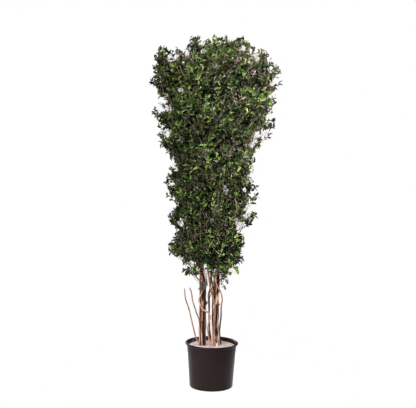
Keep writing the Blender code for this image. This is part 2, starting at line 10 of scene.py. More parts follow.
import bmesh
import bpy
import numpy as np
from mathutils import Matrix, Vector
from mathutils.geometry import interpolate_bezier


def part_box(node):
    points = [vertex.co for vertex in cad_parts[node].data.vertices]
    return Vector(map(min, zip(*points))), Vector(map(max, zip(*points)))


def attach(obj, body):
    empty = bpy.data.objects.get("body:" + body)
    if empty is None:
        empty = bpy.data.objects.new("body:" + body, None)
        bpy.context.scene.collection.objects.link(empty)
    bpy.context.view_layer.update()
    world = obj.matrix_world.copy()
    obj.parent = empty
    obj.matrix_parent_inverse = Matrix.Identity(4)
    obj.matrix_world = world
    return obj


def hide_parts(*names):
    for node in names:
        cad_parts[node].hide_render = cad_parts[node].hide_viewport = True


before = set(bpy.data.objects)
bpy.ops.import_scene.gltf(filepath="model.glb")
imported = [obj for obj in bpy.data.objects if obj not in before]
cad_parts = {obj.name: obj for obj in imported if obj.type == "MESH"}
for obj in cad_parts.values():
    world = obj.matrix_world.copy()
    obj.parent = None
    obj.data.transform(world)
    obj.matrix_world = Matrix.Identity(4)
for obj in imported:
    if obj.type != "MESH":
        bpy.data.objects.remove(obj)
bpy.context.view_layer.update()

TAU = 2 * math.pi
RIGHT = np.array((1.0, 0.0, 0.0))
BACK = np.array((0.0, 1.0, 0.0))
UP = np.array((0.0, 0.0, 1.0))
WHITE = (1.0, 1.0, 1.0)

# Where directions count as upright or sideways, and lengths as nothing
UPRIGHT_LIMB = 0.9
UPRIGHT_TWIG = 0.95
SIDEWAYS_TWIG = 0.8
MERGE = 1e-6
SHARE_MARGIN = 1e-6
RUN_MARGIN = 1e-9
TINY = 1e-12

# The camera that took the photograph: its place, its downward pitch and its slight roll in degrees
CAMERA_PLACE = (-0.0375, -4.55, 1.355)
CAMERA_PITCH = 3.03
CAMERA_ROLL = 1.0
FOCAL_PIXELS = 752.5
FRAME_WIDTH = 416
SENSOR_WIDTH = 36.0

# Pot and plaster: their main measures come from the frame
RIM_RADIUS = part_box("pot")[1].x
POT_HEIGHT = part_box("pot")[1].z
FILL_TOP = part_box("fill")[1].z
FILL_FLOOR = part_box("fill")[0].z
FILL_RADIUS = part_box("fill")[1].x
BASE_RADIUS = 0.132
BASE_ROUNDING = 0.005
WALL = 0.0045
RIM_BEAD = 0.0065
BAND_DEPTH = 0.020
BAND_STEP = 0.0015
BAND_BEVEL = 0.0003
BEVEL_SHARE = 0.6
SHOULDER_RADIUS = 0.1495
LIP_DEPTH = 0.009
RIM_ARC = (-80, 110, 18)
FOOT_ARC = (-90, 0, 8)
WALL_STEPS = 6
POT_STEPS = 144

# The plaster's trowelled top: shallow waves, level at the wall, and a collar round the foot of each stem
PLASTER_RINGS = 60
PLASTER_GAP = 0.001
TOP_MARGIN = 0.001
RIPPLE_SEED = 7
RIPPLES = 40
RIPPLE_PITCHES = (30, 240)
RIPPLE_FADE = 0.012
RIPPLE_SHARE = 8
RIPPLE_HEIGHT = 0.0012
LEVEL_EDGE = 0.01
COLLAR_HEIGHT = 0.0022
COLLAR_WIDTH = 0.005

# Stems: routes as (x, y, z), radii at the foot, under the fork, over it and at the tip. Grooves are
# (angle round the stem, width in degrees, depth as a share of the radius), with 270 facing the viewer,
# and where one doesn't run the whole length, the heights between which it lies.
# A groove's depth also darkens the bark's colour along it, as painted shade.
FOOT = FILL_TOP
FORK_HEIGHT = 0.66
UNDER_FORK = FORK_HEIGHT - 0.03
OVER_FORK = FORK_HEIGHT + 0.08
STEMS = {
    "trunk_left": {
        "route": [
            (-0.057, 0.0, FOOT), (-0.059, 0.0, 0.42), (-0.061, 0.0, 0.62), (-0.074, 0.006, 0.78),
            (-0.108, 0.016, 1.10), (-0.128, 0.02, 1.42), (-0.112, 0.014, 1.72), (-0.084, 0.01, 1.955)],
        "radii": (0.0225, 0.0200, 0.0120, 0.0050), "bark": "reddish", "slot": "bark_reddish", "sides": 84,
        "grooves": [(233, 9, 0.30), (302, 17, 0.56), (266, 11, 0.50, 0.52, 0.64), (262, 5, 0.12),
                    (330, 7, 0.16), (38, 14, 0.3), (75, 14, 0.3), (112, 14, 0.25), (145, 9, 0.2)]},
    "trunk_right": {
        "route": [
            (0.0225, 0.0, FOOT), (0.020, 0.0, 0.40), (0.0198, 0.0, 0.60), (0.036, -0.004, 0.78),
            (0.084, -0.012, 1.12), (0.116, -0.016, 1.45), (0.108, -0.01, 1.74), (0.080, 0.0, 1.955)],
        "radii": (0.0230, 0.0220, 0.0120, 0.0050), "bark": "pale", "slot": "bark_pale", "sides": 84,
        "grooves": [(208, 9, 0.28, 0.36, 0.62), (234, 7, 0.14), (285, 13, 0.60, 0.31, 0.51),
                    (290, 9, 0.26, 0.49, 0.72), (252, 8, 0.45, 0.42, 0.80), (322, 7, 0.22), (42, 14, 0.3),
                    (85, 12, 0.25), (128, 14, 0.3), (150, 8, 0.2)]},
    "stem_front": {
        "route": [
            (0.016, -0.0315, FOOT), (0.013, -0.0305, 0.377), (0.018, -0.030, 0.475), (0.013, -0.0295, 0.508),
            (0.003, -0.028, 0.546), (-0.013, -0.0255, 0.604), (-0.023, -0.027, 0.67), (-0.034, -0.036, 0.76),
            (-0.030, -0.070, 0.98), (-0.018, -0.110, 1.28), (-0.004, -0.130, 1.52), (-0.008, -0.140, 1.755)],
        "radii": (0.0056, 0.0052, 0.0052, 0.0040), "bark": "crossing", "slot": "bark_orange", "sides": 28,
        "grooves": [(315, 16, 0.2), (100, 20, 0.2)]},
    "stem_middle": {
        "route": [
            (0.006, 0.032, FOOT), (-0.012, 0.030, 0.312), (-0.017, 0.030, 0.38), (-0.020, 0.030, 0.50),
            (-0.0245, 0.030, 0.553), (-0.014, 0.031, 0.598), (-0.010, 0.045, 0.70), (0.0, 0.072, 0.88),
            (0.010, 0.112, 1.20), (0.006, 0.132, 1.48), (0.0, 0.142, 1.735)],
        "radii": (0.0062, 0.0056, 0.0055, 0.0040), "bark": "dark", "slot": "bark_dark", "sides": 28,
        "grooves": [(300, 16, 0.2), (80, 20, 0.2)]},
    "stem_bowed": {
        "route": [
            (0.056, 0.050, FOOT), (0.047, 0.036, 0.33), (0.054, 0.020, 0.42), (0.055, 0.010, 0.49),
            (0.059, -0.002, 0.535), (0.048, -0.020, 0.583), (0.025, -0.028, 0.625), (0.018, -0.031, 0.66),
            (0.021, -0.040, 0.72)],
        "radii": (0.0050, 0.0046, 0.0046, 0.0040), "bark": "bowed", "slot": "bark_pale", "sides": 28,
        "grooves": [(310, 18, 0.2)]},
    "stem_winding": {
        "route": [
            (-0.007, -0.022, FOOT), (-0.018, -0.022, 0.300), (-0.028, -0.024, 0.365), (-0.013, -0.027, 0.424),
            (-0.022, -0.031, 0.454), (-0.060, -0.033, 0.480), (-0.082, -0.028, 0.530),
            (-0.067, -0.030, 0.574), (-0.048, -0.031, 0.616), (-0.045, -0.034, 0.660),
            (-0.056, -0.048, 0.72)],
        "radii": (0.0052, 0.0046, 0.0044, 0.0038), "bark": "winding", "slot": "bark_pale", "sides": 28,
        "grooves": [(330, 18, 0.2)]},
    "shoot_outer": {
        "route": [
            (-0.081, 0.080, FOOT), (-0.099, 0.080, 0.280), (-0.133, 0.080, 0.410), (-0.146, 0.080, 0.460),
            (-0.167, 0.080, 0.522), (-0.174, 0.080, 0.582)],
        "radii": (0.0048, 0.0040, 0.0038, 0.0034), "bark": "shoot", "slot": "bark_pale", "sides": 24,
        "grooves": [(320, 20, 0.15)]},
    "shoot_inner": {
        "route": [
            (-0.062, 0.056, FOOT), (-0.080, 0.052, 0.387), (-0.095, 0.050, 0.434), (-0.120, 0.050, 0.505),
            (-0.130, 0.050, 0.561), (-0.142, 0.050, 0.593)],
        "radii": (0.0048, 0.0040, 0.0038, 0.0034), "bark": "shoot", "slot": "bark_dark", "sides": 24,
        "grooves": [(320, 20, 0.15)]},
}
CURVE_SAMPLES = 16
CURVE_EASE = 6
HEADING_STEP = 0.004
VISIBLE_STEM = 0.55
STEM_SEED = 20
BOUGH_SEED = 200
SEED_STEP = 3

# Knots as (height, angle round the stem, radius, rise as a share of the stem's radius)
KNOTS = {
    "trunk_left": [(0.500, 325, 0.0110, 0.40), (0.60, 215, 0.006, 0.22), (0.385, 255, 0.006, 0.12)],
    "trunk_right": [(0.285, 262, 0.008, 0.24), (0.305, 236, 0.006, 0.20), (0.272, 290, 0.006, 0.20),
                    (0.33, 300, 0.006, 0.15), (0.500, 352, 0.007, 0.35), (0.575, 330, 0.007, 0.25)],
    "stem_middle": [(0.55, 330, 0.006, 0.5)],
    "stem_winding": [(0.365, 200, 0.006, 0.3), (0.485, 250, 0.007, 0.3)],
    "shoot_outer": [(0.455, 180, 0.005, 0.35), (0.51, 0, 0.005, 0.3)],
    "shoot_inner": [(0.434, 180, 0.005, 0.35), (0.54, 0, 0.005, 0.25)],
}

# Bark relief: lumps and fibres as shares of the radius, their waves as (turns round the limb, pitches along
# it, number of waves), and how far apart the rings of a limb lie
LUMPS = 0.05
FIBRES = 0.035
LUMP_WAVES = ((1, 3), (18, 70), 14)
FIBRE_WAVES = ((7, 17), (12, 90), 22)
RING_SPACING = (0.0035, 0.012)
STEM_SUNK = 0.003

# Grooves wander round the limb, and their depth swells and fades along it and at their ends
WANDER_WAVES = ((0, 1), (4, 14), 5)
WANDER = 0.13
WANDER_PHASE = 1.7
GROOVE_LEVEL = 0.82
GROOVE_SWELL = 0.18
SWELL_PITCH = 9
SWELL_PITCH_STEP = 3
SWELL_PHASE = 2.1
GROOVE_END = 0.025

# What the bark's colour follows: 0 in the grooves and about 1 on the ribs. Its fall in the grooves paints
# shade there.
TONE_AND_GROOVE_SHADE = {"level": 0.62, "fibres": 0.17, "lumps": 0.12, "grooves": 3.0, "knots": 0.9, "knot_narrowing": 3}

# Crown of the solids, which sets the masses' spaces: its outline as (height, reach) from its axis
TREE_HEIGHT = 2.13
CROWN_X = -0.010
CROWN_AXIS = np.array((CROWN_X, 0.0, 0.0))
CROWN_REACH = {
    "left": [
        (0.62, 0.06), (0.70, 0.17), (0.80, 0.24), (0.86, 0.27), (0.96, 0.22), (1.03, 0.28), (1.10, 0.23),
        (1.20, 0.295), (1.38, 0.27), (1.52, 0.34), (1.59, 0.32), (1.68, 0.38), (1.77, 0.335), (1.86, 0.40),
        (2.04, 0.36), (TREE_HEIGHT, 0.26)],
    "right": [
        (0.60, 0.08), (0.68, 0.17), (0.79, 0.215), (0.90, 0.20), (1.00, 0.24), (1.06, 0.28), (1.13, 0.22),
        (1.23, 0.28), (1.30, 0.24), (1.44, 0.27), (1.56, 0.35), (1.66, 0.375), (1.76, 0.365), (1.90, 0.402),
        (2.03, 0.34), (TREE_HEIGHT, 0.25)],
}
CROWN_FOOT = 0.60
TOP_FLAT_RADIUS = 0.17
TOP_FALL = 0.5

# The ragged outline that the leaves keep to: their reach by height, and the roof by distance from the axis
OUTLINE = {
    "left": [
        (0.60, 0.05), (0.662, 0.087), (0.697, 0.166), (0.734, 0.185), (0.782, 0.216), (0.83, 0.266),
        (0.885, 0.266), (0.965, 0.215), (1.00, 0.280), (1.061, 0.275), (1.111, 0.215), (1.158, 0.289),
        (1.218, 0.295), (1.327, 0.285), (1.406, 0.262), (1.459, 0.323), (1.531, 0.342), (1.58, 0.319),
        (1.633, 0.350), (1.68, 0.380), (1.729, 0.325), (1.794, 0.346), (1.85, 0.401), (1.89, 0.365),
        (1.943, 0.378), (2.003, 0.367), (2.062, 0.338), (2.13, 0.25)],
    "right": [
        (0.60, 0.08), (0.679, 0.169), (0.74, 0.180), (0.796, 0.215), (0.838, 0.184), (0.899, 0.201),
        (0.966, 0.206), (1.022, 0.247), (1.071, 0.282), (1.125, 0.221), (1.198, 0.249), (1.241, 0.279),
        (1.294, 0.235), (1.379, 0.264), (1.44, 0.268), (1.488, 0.286), (1.555, 0.350), (1.579, 0.326),
        (1.657, 0.372), (1.729, 0.365), (1.795, 0.375), (1.855, 0.404), (1.896, 0.367), (1.938, 0.396),
        (1.985, 0.347), (2.032, 0.328), (2.061, 0.28), (2.13, 0.18)],
}
ROOF = {
    "left": [
        (0.0, 2.11), (0.05, 2.135), (0.135, 2.125), (0.205, 2.035), (0.24, 2.005), (0.30, 2.021),
        (0.338, 2.062), (0.367, 2.003), (0.378, 1.943), (0.401, 1.86)],
    "right": [
        (0.0, 2.11), (0.05, 2.13), (0.12, 2.105), (0.17, 2.13), (0.243, 2.061), (0.328, 2.032),
        (0.347, 1.985), (0.396, 1.938), (0.404, 1.86)],
}
# Where the sky shows through the crown, as (x, height, radius) seen from the camera
SKY_GAPS = [
    (0.170, 0.979, 0.032), (0.303, 1.539, 0.031), (0.327, 1.644, 0.026), (0.346, 1.852, 0.026),
    (-0.288, 1.542, 0.023), (-0.200, 0.999, 0.022), (0.223, 1.914, 0.022), (-0.279, 1.985, 0.022),
    (-0.181, 2.014, 0.020), (0.199, 1.050, 0.020), (-0.095, 2.083, 0.020), (0.244, 1.541, 0.019),
    (0.230, 2.025, 0.019), (-0.333, 1.681, 0.019), (-0.257, 1.358, 0.019), (0.155, 2.054, 0.018),
    (-0.085, 2.028, 0.018), (-0.283, 1.687, 0.018), (0.234, 1.503, 0.018), (-0.215, 1.800, 0.017),
    (-0.204, 0.779, 0.017), (0.137, 1.988, 0.017), (0.117, 0.715, 0.017), (-0.245, 1.997, 0.016),
    (-0.139, 0.743, 0.016), (-0.261, 1.239, 0.016), (-0.321, 1.562, 0.016), (0.320, 1.978, 0.015),
    (0.240, 1.991, 0.015), (0.220, 1.476, 0.015), (0.199, 2.031, 0.015), (0.264, 1.450, 0.015),
    (0.202, 1.096, 0.015), (0.138, 1.020, 0.015), (0.068, 1.224, 0.015), (-0.315, 1.738, 0.015),
    (0.323, 1.931, 0.014), (0.225, 1.081, 0.014), (0.186, 1.205, 0.014), (0.335, 1.764, 0.013),
    (0.238, 1.365, 0.013), (0.230, 1.195, 0.013), (0.201, 1.967, 0.013), (-0.193, 1.961, 0.013),
    (-0.233, 1.323, 0.013), (0.075, 1.192, 0.013), (0.000, 1.019, 0.013),
]
RAGGED = 0.20
ROOF_RAGGED = 0.08
FRINGE = 0.10
FRINGE_SWING = 0.6
ROOF_FRINGE = 0.03
CORE_DEPTH = 0.05
GAP_FRAY = 0.004
GAP_MARGIN = 0.004

# Foliage columns: the stem that carries them, the way they face (0 is +X, 90 is +Y), and the height of
# each mass. The last mass of a column marked "tip" stands on its stem's own tip.
COLUMNS = {
    "left": {"stem": "trunk_left", "facing": 180, "heights": (0.80, 1.02, 1.23, 1.47, 1.70, 1.93)},
    "right": {"stem": "trunk_right", "facing": 0, "heights": (0.78, 1.00, 1.22, 1.43, 1.65, 1.90)},
    "front": {"stem": "stem_front", "facing": 270, "heights": (1.00, 1.20, 1.40, 1.60, 1.83), "tip": True},
    "back": {"stem": "stem_middle", "facing": 90, "heights": (0.90, 1.12, 1.34, 1.57, 1.81), "tip": True},
}
SINGLE_MASSES = {
    "low_front_left": {"stem": "stem_winding", "facing": 236, "height": 0.80},
    "low_front_right": {"stem": "stem_bowed", "facing": 300, "height": 0.79},
    "top_left": {"stem": "trunk_left", "facing": 180, "height": 2.04},
    "top_right": {"stem": "trunk_right", "facing": 0, "height": 2.04},
}
FACING_SWING = 16
FACING_TURN = 2.4
CENTRE_SHARE = 0.55
TOP_CENTRE_REACH = 0.10

# Boughs: how far below its mass each leaves the stem, how far it rises and reaches, its sag halfway, and
# its thickness as a share of the stem's
BOUGH_DROP = 0.19
BOUGH_RISE = 0.095
BOUGH_REACH = 0.055
BOUGH_LIFT_STEP = 0.01
BOUGH_BOW = 0.010
BOUGH_SAG = 0.006
BOUGH_SHARE = 0.62
BOUGH_THICKEST = 0.0070
BOUGH_TIP_RADIUS = 0.0042
BOUGH_SIDES = 16
BOUGH_GROOVES = [(300, 25, 0.2), (100, 25, 0.2)]
ROOT_DEPTH = 0.02

# Twigs, from each mass's main stem to the fine ones that bear the leaves. Each kind has its number, the
# angles at which it leaves its bearer, its lengths, lift and sway, the points, radii and sides of its tubes,
# the stretch of its bearer that it starts from, and how many options are drawn for each twig.
FIRST_SEED = 100
GOLDEN_ANGLE = 137.5
RAY_STEP = 0.01
LIMB_CLEARANCE = 0.0015
NEARBY = 0.45
LIMB_SAMPLE = 0.006
MAIN_SWINGS = (0, 14, -14, 28, -28, 42, -42)
MAIN_LIFTS = (0.55, 0.8, 0.35, 1.4, 3.0)
MAIN_LONGEST = 0.6
MAIN_SHORTEST = 0.04
MAIN_MARGIN = 0.06
MAIN_BEND = 0.4
MAIN_TWIG = {"radii": (0.0036, 0.0014), "sides": 6}
MAIN_POINTS = 9
MAIN_FREE_FROM = 3
SIDE_TWIG = {"count": 16, "spread": (35, 95), "length": (0.10, 0.26), "lift": 0.7, "sway": 0.10, "points": 8,
             "radii": (0.0020, 0.0010), "sides": 5, "places": (0.06, 0.92), "options": 12}
WAND = {"count": 360, "spread": (5, 40), "length": (0.12, 0.24), "lift": 1.6, "sway": 0.08, "points": 6,
        "radii": (0.0023, 0.0010), "sides": 4, "places": (0.3, 1.0), "options": 20}
FINE_TWIG = {"count": 4400, "spread": (25, 80), "length": (0.06, 0.16), "lift": 0.4, "sway": 0.14,
             "points": 6, "radii": (0.0011, 0.0005), "sides": 3, "places": (0.1, 1.0), "options": 14}
SPRIG = {"count": 620, "spread": (5, 60), "length": (0.07, 0.15), "lift": 0.35, "sway": 0.10, "points": 6,
         "radii": (0.0012, 0.0005), "sides": 3, "places": (0.5, 1.0), "options": 40}
SWAY_SHARES = np.array((1.0, 1.0, 0.3))
MIDDLE_WEIGHT = 0.3
TIP_WEIGHT = 0.7

# Leafy twigs low on the stems, each from its root on a stem or bough to its tip, crooked and bowed
LOW_TWIGS = [
    ((-0.047, -0.036, 0.665), (-0.042, -0.052, 0.630)), ((-0.056, -0.034, 0.640), (-0.066, -0.046, 0.615)),
    ((0.004, -0.020, 0.725), (0.000, -0.020, 0.690)), ((0.045, -0.018, 0.670), (0.064, -0.030, 0.622)),
    ((0.045, -0.015, 0.690), (0.078, -0.030, 0.655)), ((0.045, -0.012, 0.715), (0.098, -0.030, 0.705)),
    ((-0.080, -0.005, 0.715), (-0.165, -0.020, 0.710)), ((0.050, 0.010, 0.720), (0.100, 0.040, 0.735)),
    ((-0.078, 0.008, 0.690), (-0.120, 0.030, 0.700)), ((0.110, -0.010, 0.760), (0.138, -0.012, 0.738)),
]
LOW_TWIG_SWAY = 0.003
LOW_TWIG_BOW = 0.008

# One large hanging leaf
LONE_LEAF = {"root": (0.135, -0.012, 0.735), "along": (0.42, 0.0, -0.9), "facing": (0.0, -1.0, 0.0),
             "length": 0.052, "tint": "lime"}

# The crown's lower edge as seen from the camera, as (x, height) at the crown's axis
LOW_EDGE = [
    (-0.325, 0.854), (-0.275, 0.818), (-0.238, 0.788), (-0.201, 0.752), (-0.176, 0.697), (-0.140, 0.686),
    (-0.091, 0.671), (-0.073, 0.730), (-0.062, 0.761), (-0.037, 0.749), (-0.018, 0.694), (0.013, 0.688),
    (0.024, 0.725), (0.037, 0.683), (0.068, 0.647), (0.086, 0.665), (0.110, 0.690), (0.127, 0.739),
    (0.170, 0.746), (0.199, 0.790), (0.234, 0.851), (0.270, 0.913),
]
LOW_FRAY = 0.005

# Thin strands round the trunks, as (route, radius, bark)
STRANDS = [
    ([(-0.040, -0.014, 0.500), (-0.031, -0.016, 0.513), (-0.021, -0.016, 0.541), (-0.010, -0.018, 0.568)],
     0.0024, "dark"),
    ([(-0.019, 0.024, 0.520), (-0.016, 0.012, 0.545), (-0.009, 0.0, 0.572), (-0.002, -0.006, 0.62)],
     0.0026, "dark"),
    ([(-0.040, -0.014, 0.605), (-0.037, -0.022, 0.640), (-0.038, -0.030, 0.700)], 0.0020, "reddish"),
    ([(-0.042, -0.016, 0.650), (-0.028, -0.024, 0.647), (-0.014, -0.024, 0.645)], 0.0012, "dark"),
    ([(-0.010, -0.022, 0.690), (-0.004, -0.026, 0.640), (0.006, -0.027, 0.600), (0.012, -0.026, 0.570)],
     0.0034, "reddish"),
    ([(0.027, -0.034, 0.700), (0.025, -0.030, 0.676), (0.019, -0.028, 0.649), (0.014, -0.027, 0.610)],
     0.0022, "shoot"),
    ([(0.036, -0.022, 0.700), (0.034, -0.024, 0.650), (0.030, -0.023, 0.600), (0.028, -0.021, 0.560)],
     0.0030, "reddish"),
    ([(-0.080, -0.004, 0.625), (-0.090, -0.012, 0.640), (-0.112, -0.022, 0.665), (-0.140, -0.030, 0.698)],
     0.0014, "shoot"),
    ([(-0.081, -0.006, 0.640), (-0.094, -0.020, 0.665), (-0.108, -0.034, 0.700)], 0.0012, "shoot"),
]
STRAND_STEPS = 14
STRAND_TAPER = 0.8
STRAND_SIDES = 8

# Drooping sprays under the crown, on the boughs and stems between these heights
LOW_BEARERS = (0.69, 0.82)
LOW_SPRAY = {"count": 80, "spread": (50, 120), "length": (0.05, 0.11), "lift": -0.7, "sway": 0.12,
             "points": 6, "places": (0.05, 1.0), "options": 30}
LOW_SAMPLES = 400
LOW_SHORTEST = 4

# Sprigs that stand out of the crown's outline, by their tips as (x, height). Each tip has one sprig that
# ends there, and one that ends this much nearer to the crown's axis.
TIPS = [
    (-0.348, 2.062), (-0.388, 1.943), (-0.406, 1.847), (-0.356, 1.789), (-0.390, 1.674), (-0.347, 1.597),
    (-0.352, 1.549), (-0.346, 1.495), (-0.309, 1.460), (-0.282, 1.297), (-0.306, 1.255), (-0.293, 1.182),
    (-0.279, 1.055), (-0.174, 0.966), (-0.276, 0.885), (-0.276, 0.836), (-0.176, 0.697), (-0.341, 2.021),
    (-0.299, 2.034), (-0.245, 2.034), (-0.209, 2.041), (-0.145, 2.125), (-0.115, 2.114), (-0.037, 2.127),
    (0.005, 2.128), (0.059, 2.123), (0.166, 2.125), (0.228, 2.055), (0.270, 2.020), (0.318, 2.032),
    (0.343, 1.979), (0.374, 1.956), (0.386, 1.932), (0.394, 1.861), (0.366, 1.777), (0.360, 1.747),
    (0.363, 1.645), (0.363, 1.616), (0.341, 1.549), (0.276, 1.488), (0.269, 1.241), (0.270, 1.192),
    (0.272, 1.071), (0.237, 1.022), (0.190, 0.930), (0.191, 0.893), (0.199, 0.796),
]
TIP_BACKS = (0.0, 0.030)
TIP_SPRIG = {"depth": (-0.03, 0.03), "back_rise": (-0.6, 0.9), "length": (0.06, 0.15), "best": 0.10,
             "out_rise": 0.3, "upward": 0.4, "off_best": 8, "bow": 0.35, "short": 0.032,
             "radii": (0.0016, 0.0006), "sides": 4, "spare": 0.005}
TIP_LEAVES = {"lengths": (0.025, 0.039), "spacing": 0.008}
LOW_LEAVES = {"lengths": (0.018, 0.032), "spacing": 0.006}

# Leaves of life size, denser in the crown's outer shell than in its hollow inside
LEAF_LENGTH = (0.018, 0.038)
LEAF_WIDTH_SHARE = (0.36, 0.48)
LEAF_SPACING = 0.0082
LEAF_BARE_SHARE = 0.22
LEAF_LAST_SHARE = 0.97
LEAF_TUFT = (0.99, 1.0, 1.0)
LEAF_TILT = (38, 68)
LEAF_TIP_TILT = (8, 30)
LEAF_UPTURN = 0.7
LEAF_SWAY = 1.0
LEAFY_DEPTH = 0.12
INNER_LEAVES = 0.15
LEAVES_A_PIECE = 16000

# One leaf's outline as (share of its length, share of its width), and the forms that it takes
LEAF_OUTLINE = [(0.0, 0.0), (0.25, 0.70), (0.53, 1.0), (0.82, 0.62), (1.0, 0.0)]
LEAF_FORMS = [
    {"fold": 0.36, "curl": 0.12, "twist": 0.0},
    {"fold": 0.50, "curl": 0.30, "twist": 0.3},
    {"fold": 0.20, "curl": -0.08, "twist": -0.25},
]

# Leaf tints, from dark to light. They are dealt to short runs of leaves, and the light ones gather in
# patches and at spots of painted highlight.
TINTS = {
    # The deep tint is near black: partly the leaves' own dark green and partly painted shade.
    "deep": {"colour": (0.010, 0.014, 0.006), "share": 0.36, "leaning": -1.0},
    "green": {"colour": (0.027, 0.052, 0.011), "share": 0.28, "leaning": -0.4},
    "olive": {"colour": (0.064, 0.061, 0.027), "share": 0.17, "leaning": 0.0},
    "fresh": {"colour": (0.100, 0.172, 0.033), "share": 0.15, "leaning": 0.8},
    "lime": {"colour": (0.22, 0.30, 0.075), "share": 0.04, "leaning": 1.2},
}
TINT_SHARES = np.array([tint["share"] for tint in TINTS.values()])
TINT_LEANINGS = np.array([tint["leaning"] for tint in TINTS.values()])
PATCH_LEANING = 0.18
HIGHLIGHT_LEANING = 1.0
SPRAY_LEAVES = 5

# Painted highlights: places on the front where the light tints are dealt more often, as (x, height, radius)
HIGHLIGHT_SPOTS = [
    (-0.021, 1.723, 0.030), (0.068, 1.610, 0.045), (-0.268, 1.134, 0.040), (-0.060, 2.040, 0.050),
    (0.010, 2.010, 0.060), (-0.150, 1.860, 0.022), (0.120, 1.330, 0.035), (0.160, 0.860, 0.045),
    (-0.240, 1.780, 0.018), (0.250, 1.700, 0.035), (0.130, 0.700, 0.040), (-0.170, 1.180, 0.035),
]

# Stage: the floor, the light that the white surround gives, and the lamps
FLOOR_RADIUS = 0.85
FLOOR_SEGMENTS = 96
FLOOR_GREY = (0.34, 0.335, 0.33)
FLOOR_GLOW = 0.78
WORLD_LIGHT = 0.090
LAMPS = {
    "key": {"at": (-1.7, -3.8, 2.5), "aim": (0.0, 0.0, 1.1), "size": (0.8, 0.8), "watts": 214},
    "crown_right": {"at": (2.5, -2.2, 2.5), "aim": (0.1, 0.0, 1.7), "size": (0.8, 0.8), "watts": 16,
                    "spread": 45},
    "crown_side": {"at": (2.6, -0.6, 2.4), "aim": (0.1, 0.0, 1.6), "size": (0.8, 0.8), "watts": 9,
                   "spread": 45},
    "low_panel": {"at": (0.2, -3.2, 2.0), "aim": (0.0, 0.0, 0.24), "size": (1.0, 1.0), "watts": 1.2,
                  "spread": 25},
    "pot_panel": {"at": (-2.6, -1.9, 0.5), "aim": (0.0, 0.0, 0.14), "size": (2.2, 1.0), "watts": 6,
                  "spread": 30},
    "left_strip": {"at": (-2.2, 0.7, 1.2), "aim": (0.0, 0.0, 1.0), "size": (0.5, 2.2), "watts": 3},
    "right_strip": {"at": (2.2, 0.7, 1.2), "aim": (0.0, 0.0, 1.0), "size": (0.5, 2.2), "watts": 26,
                    "colour": (1.0, 0.86, 0.78)},
    "back": {"at": (-1.6, 3.4, 2.2), "aim": (0.0, 0.0, 1.2), "size": (1.6, 1.6), "watts": 60},
    "top": {"at": (0.3, 0.8, 4.2), "aim": (0.0, 0.0, 1.4), "size": (1.2, 1.2), "watts": 40},
}


# Shader maths

class Wire:
    """A shader socket that takes part in sums, so that shader maths reads as Python."""

    def __init__(self, finish, socket):
        self.finish = finish
        self.socket = socket

    def __add__(self, other):
        return self.finish.maths("ADD", self, other)

    __radd__ = __add__

    def __sub__(self, other):
        return self.finish.maths("SUBTRACT", self, other)

    def __rsub__(self, other):
        return self.finish.maths("SUBTRACT", other, self)

    def __mul__(self, other):
        return self.finish.maths("MULTIPLY", self, other)

    __rmul__ = __mul__


class Finish:
    """One finish: a Principled shader, and the nodes that feed it."""

    def __init__(self, name, roughness=0.5, specular=0.5):
        self.material = bpy.data.materials.new(name)
        self.material.use_nodes = True
        self.tree = self.material.node_tree
        self.shader = self.tree.nodes["Principled BSDF"]
        self.shader.inputs["Roughness"].default_value = roughness
        self.shader.inputs["Specular IOR Level"].default_value = specular

    def feed(self, socket, value):
        """Links a wire to a socket, or sets the socket to a value or a colour."""
        if isinstance(value, Wire):
            self.tree.links.new(value.socket, socket)
        elif isinstance(value, tuple) and len(value) == 3 and socket.type == "RGBA":
            socket.default_value = (*value, 1.0)
        else:
            socket.default_value = value

    def node(self, kind, settings=None, inputs=None, output=0):
        """Adds a node, sets it, feeds its sockets, and returns one of its outputs."""
        made = self.tree.nodes.new(kind)
        for name, value in (settings or {}).items():
            if name == "stops":
                set_stops(made.color_ramp, value)
            else:
                setattr(made, name, value)
        for name, value in (inputs or {}).items():
            self.feed(made.inputs[name], value)
        return Wire(self, made.outputs[output])

    def maths(self, operation, *values):
        return self.node("ShaderNodeMath", {"operation": operation}, dict(enumerate(values)))

    def place(self, stretch=(1.0, 1.0, 1.0)):
        """Object coordinates, squeezed along the axes whose stretch is under 1."""
        at = self.node("ShaderNodeTexCoord", output="Object")
        return self.node("ShaderNodeMapping", inputs={"Vector": at, "Scale": stretch})

    def coordinate(self, axis):
        """The object coordinate along an axis: 0 for X, 1 for Y and 2 for Z."""
        return self.node("ShaderNodeSeparateXYZ", inputs={0: self.place()}, output=axis)

    def noise(self, scale, stretch=(1.0, 1.0, 1.0), detail=3.0, roughness=0.55):
        return self.node("ShaderNodeTexNoise", inputs={
            "Vector": self.place(stretch), "Scale": scale, "Detail": detail, "Roughness": roughness})

    def ramp(self, share, *stops):
        """A value that follows (position, value) stops."""
        return self.node("ShaderNodeValToRGB", {"stops": stops}, {0: share})

    def mixed(self, share, first, second):
        """A colour between two, by share."""
        return self.node("ShaderNodeMix", {"data_type": "RGBA"}, {0: share, 6: first, 7: second}, output=2)

    def colour(self, value):
        self.feed(self.shader.inputs["Base Color"], value)

    def roughness(self, value):
        self.feed(self.shader.inputs["Roughness"], value)

    def bump(self, height, distance, strength):
        bumped = self.node("ShaderNodeBump", inputs={"Height": height, "Distance": distance,
                                                     "Strength": strength})
        self.feed(self.shader.inputs["Normal"], bumped)


def blended(first, second, share):
    """The sum of two wires, the first with a share of the whole."""
    return first * share + second * (1 - share)


def set_stops(ramp, stops):
    """Sets a colour ramp's stops from (position, grey) or (position, colour) pairs."""
    while len(ramp.elements) < len(stops):
        ramp.elements.new(1.0)
    for element, (position, value) in zip(ramp.elements, stops):
        element.position = position
        element.color = (*value, 1.0) if isinstance(value, tuple) else (value, value, value, 1.0)


# Finishes: tones from dark to light, (position, value) stops for what mixes them, and roughness as its
# least value and what each pattern adds

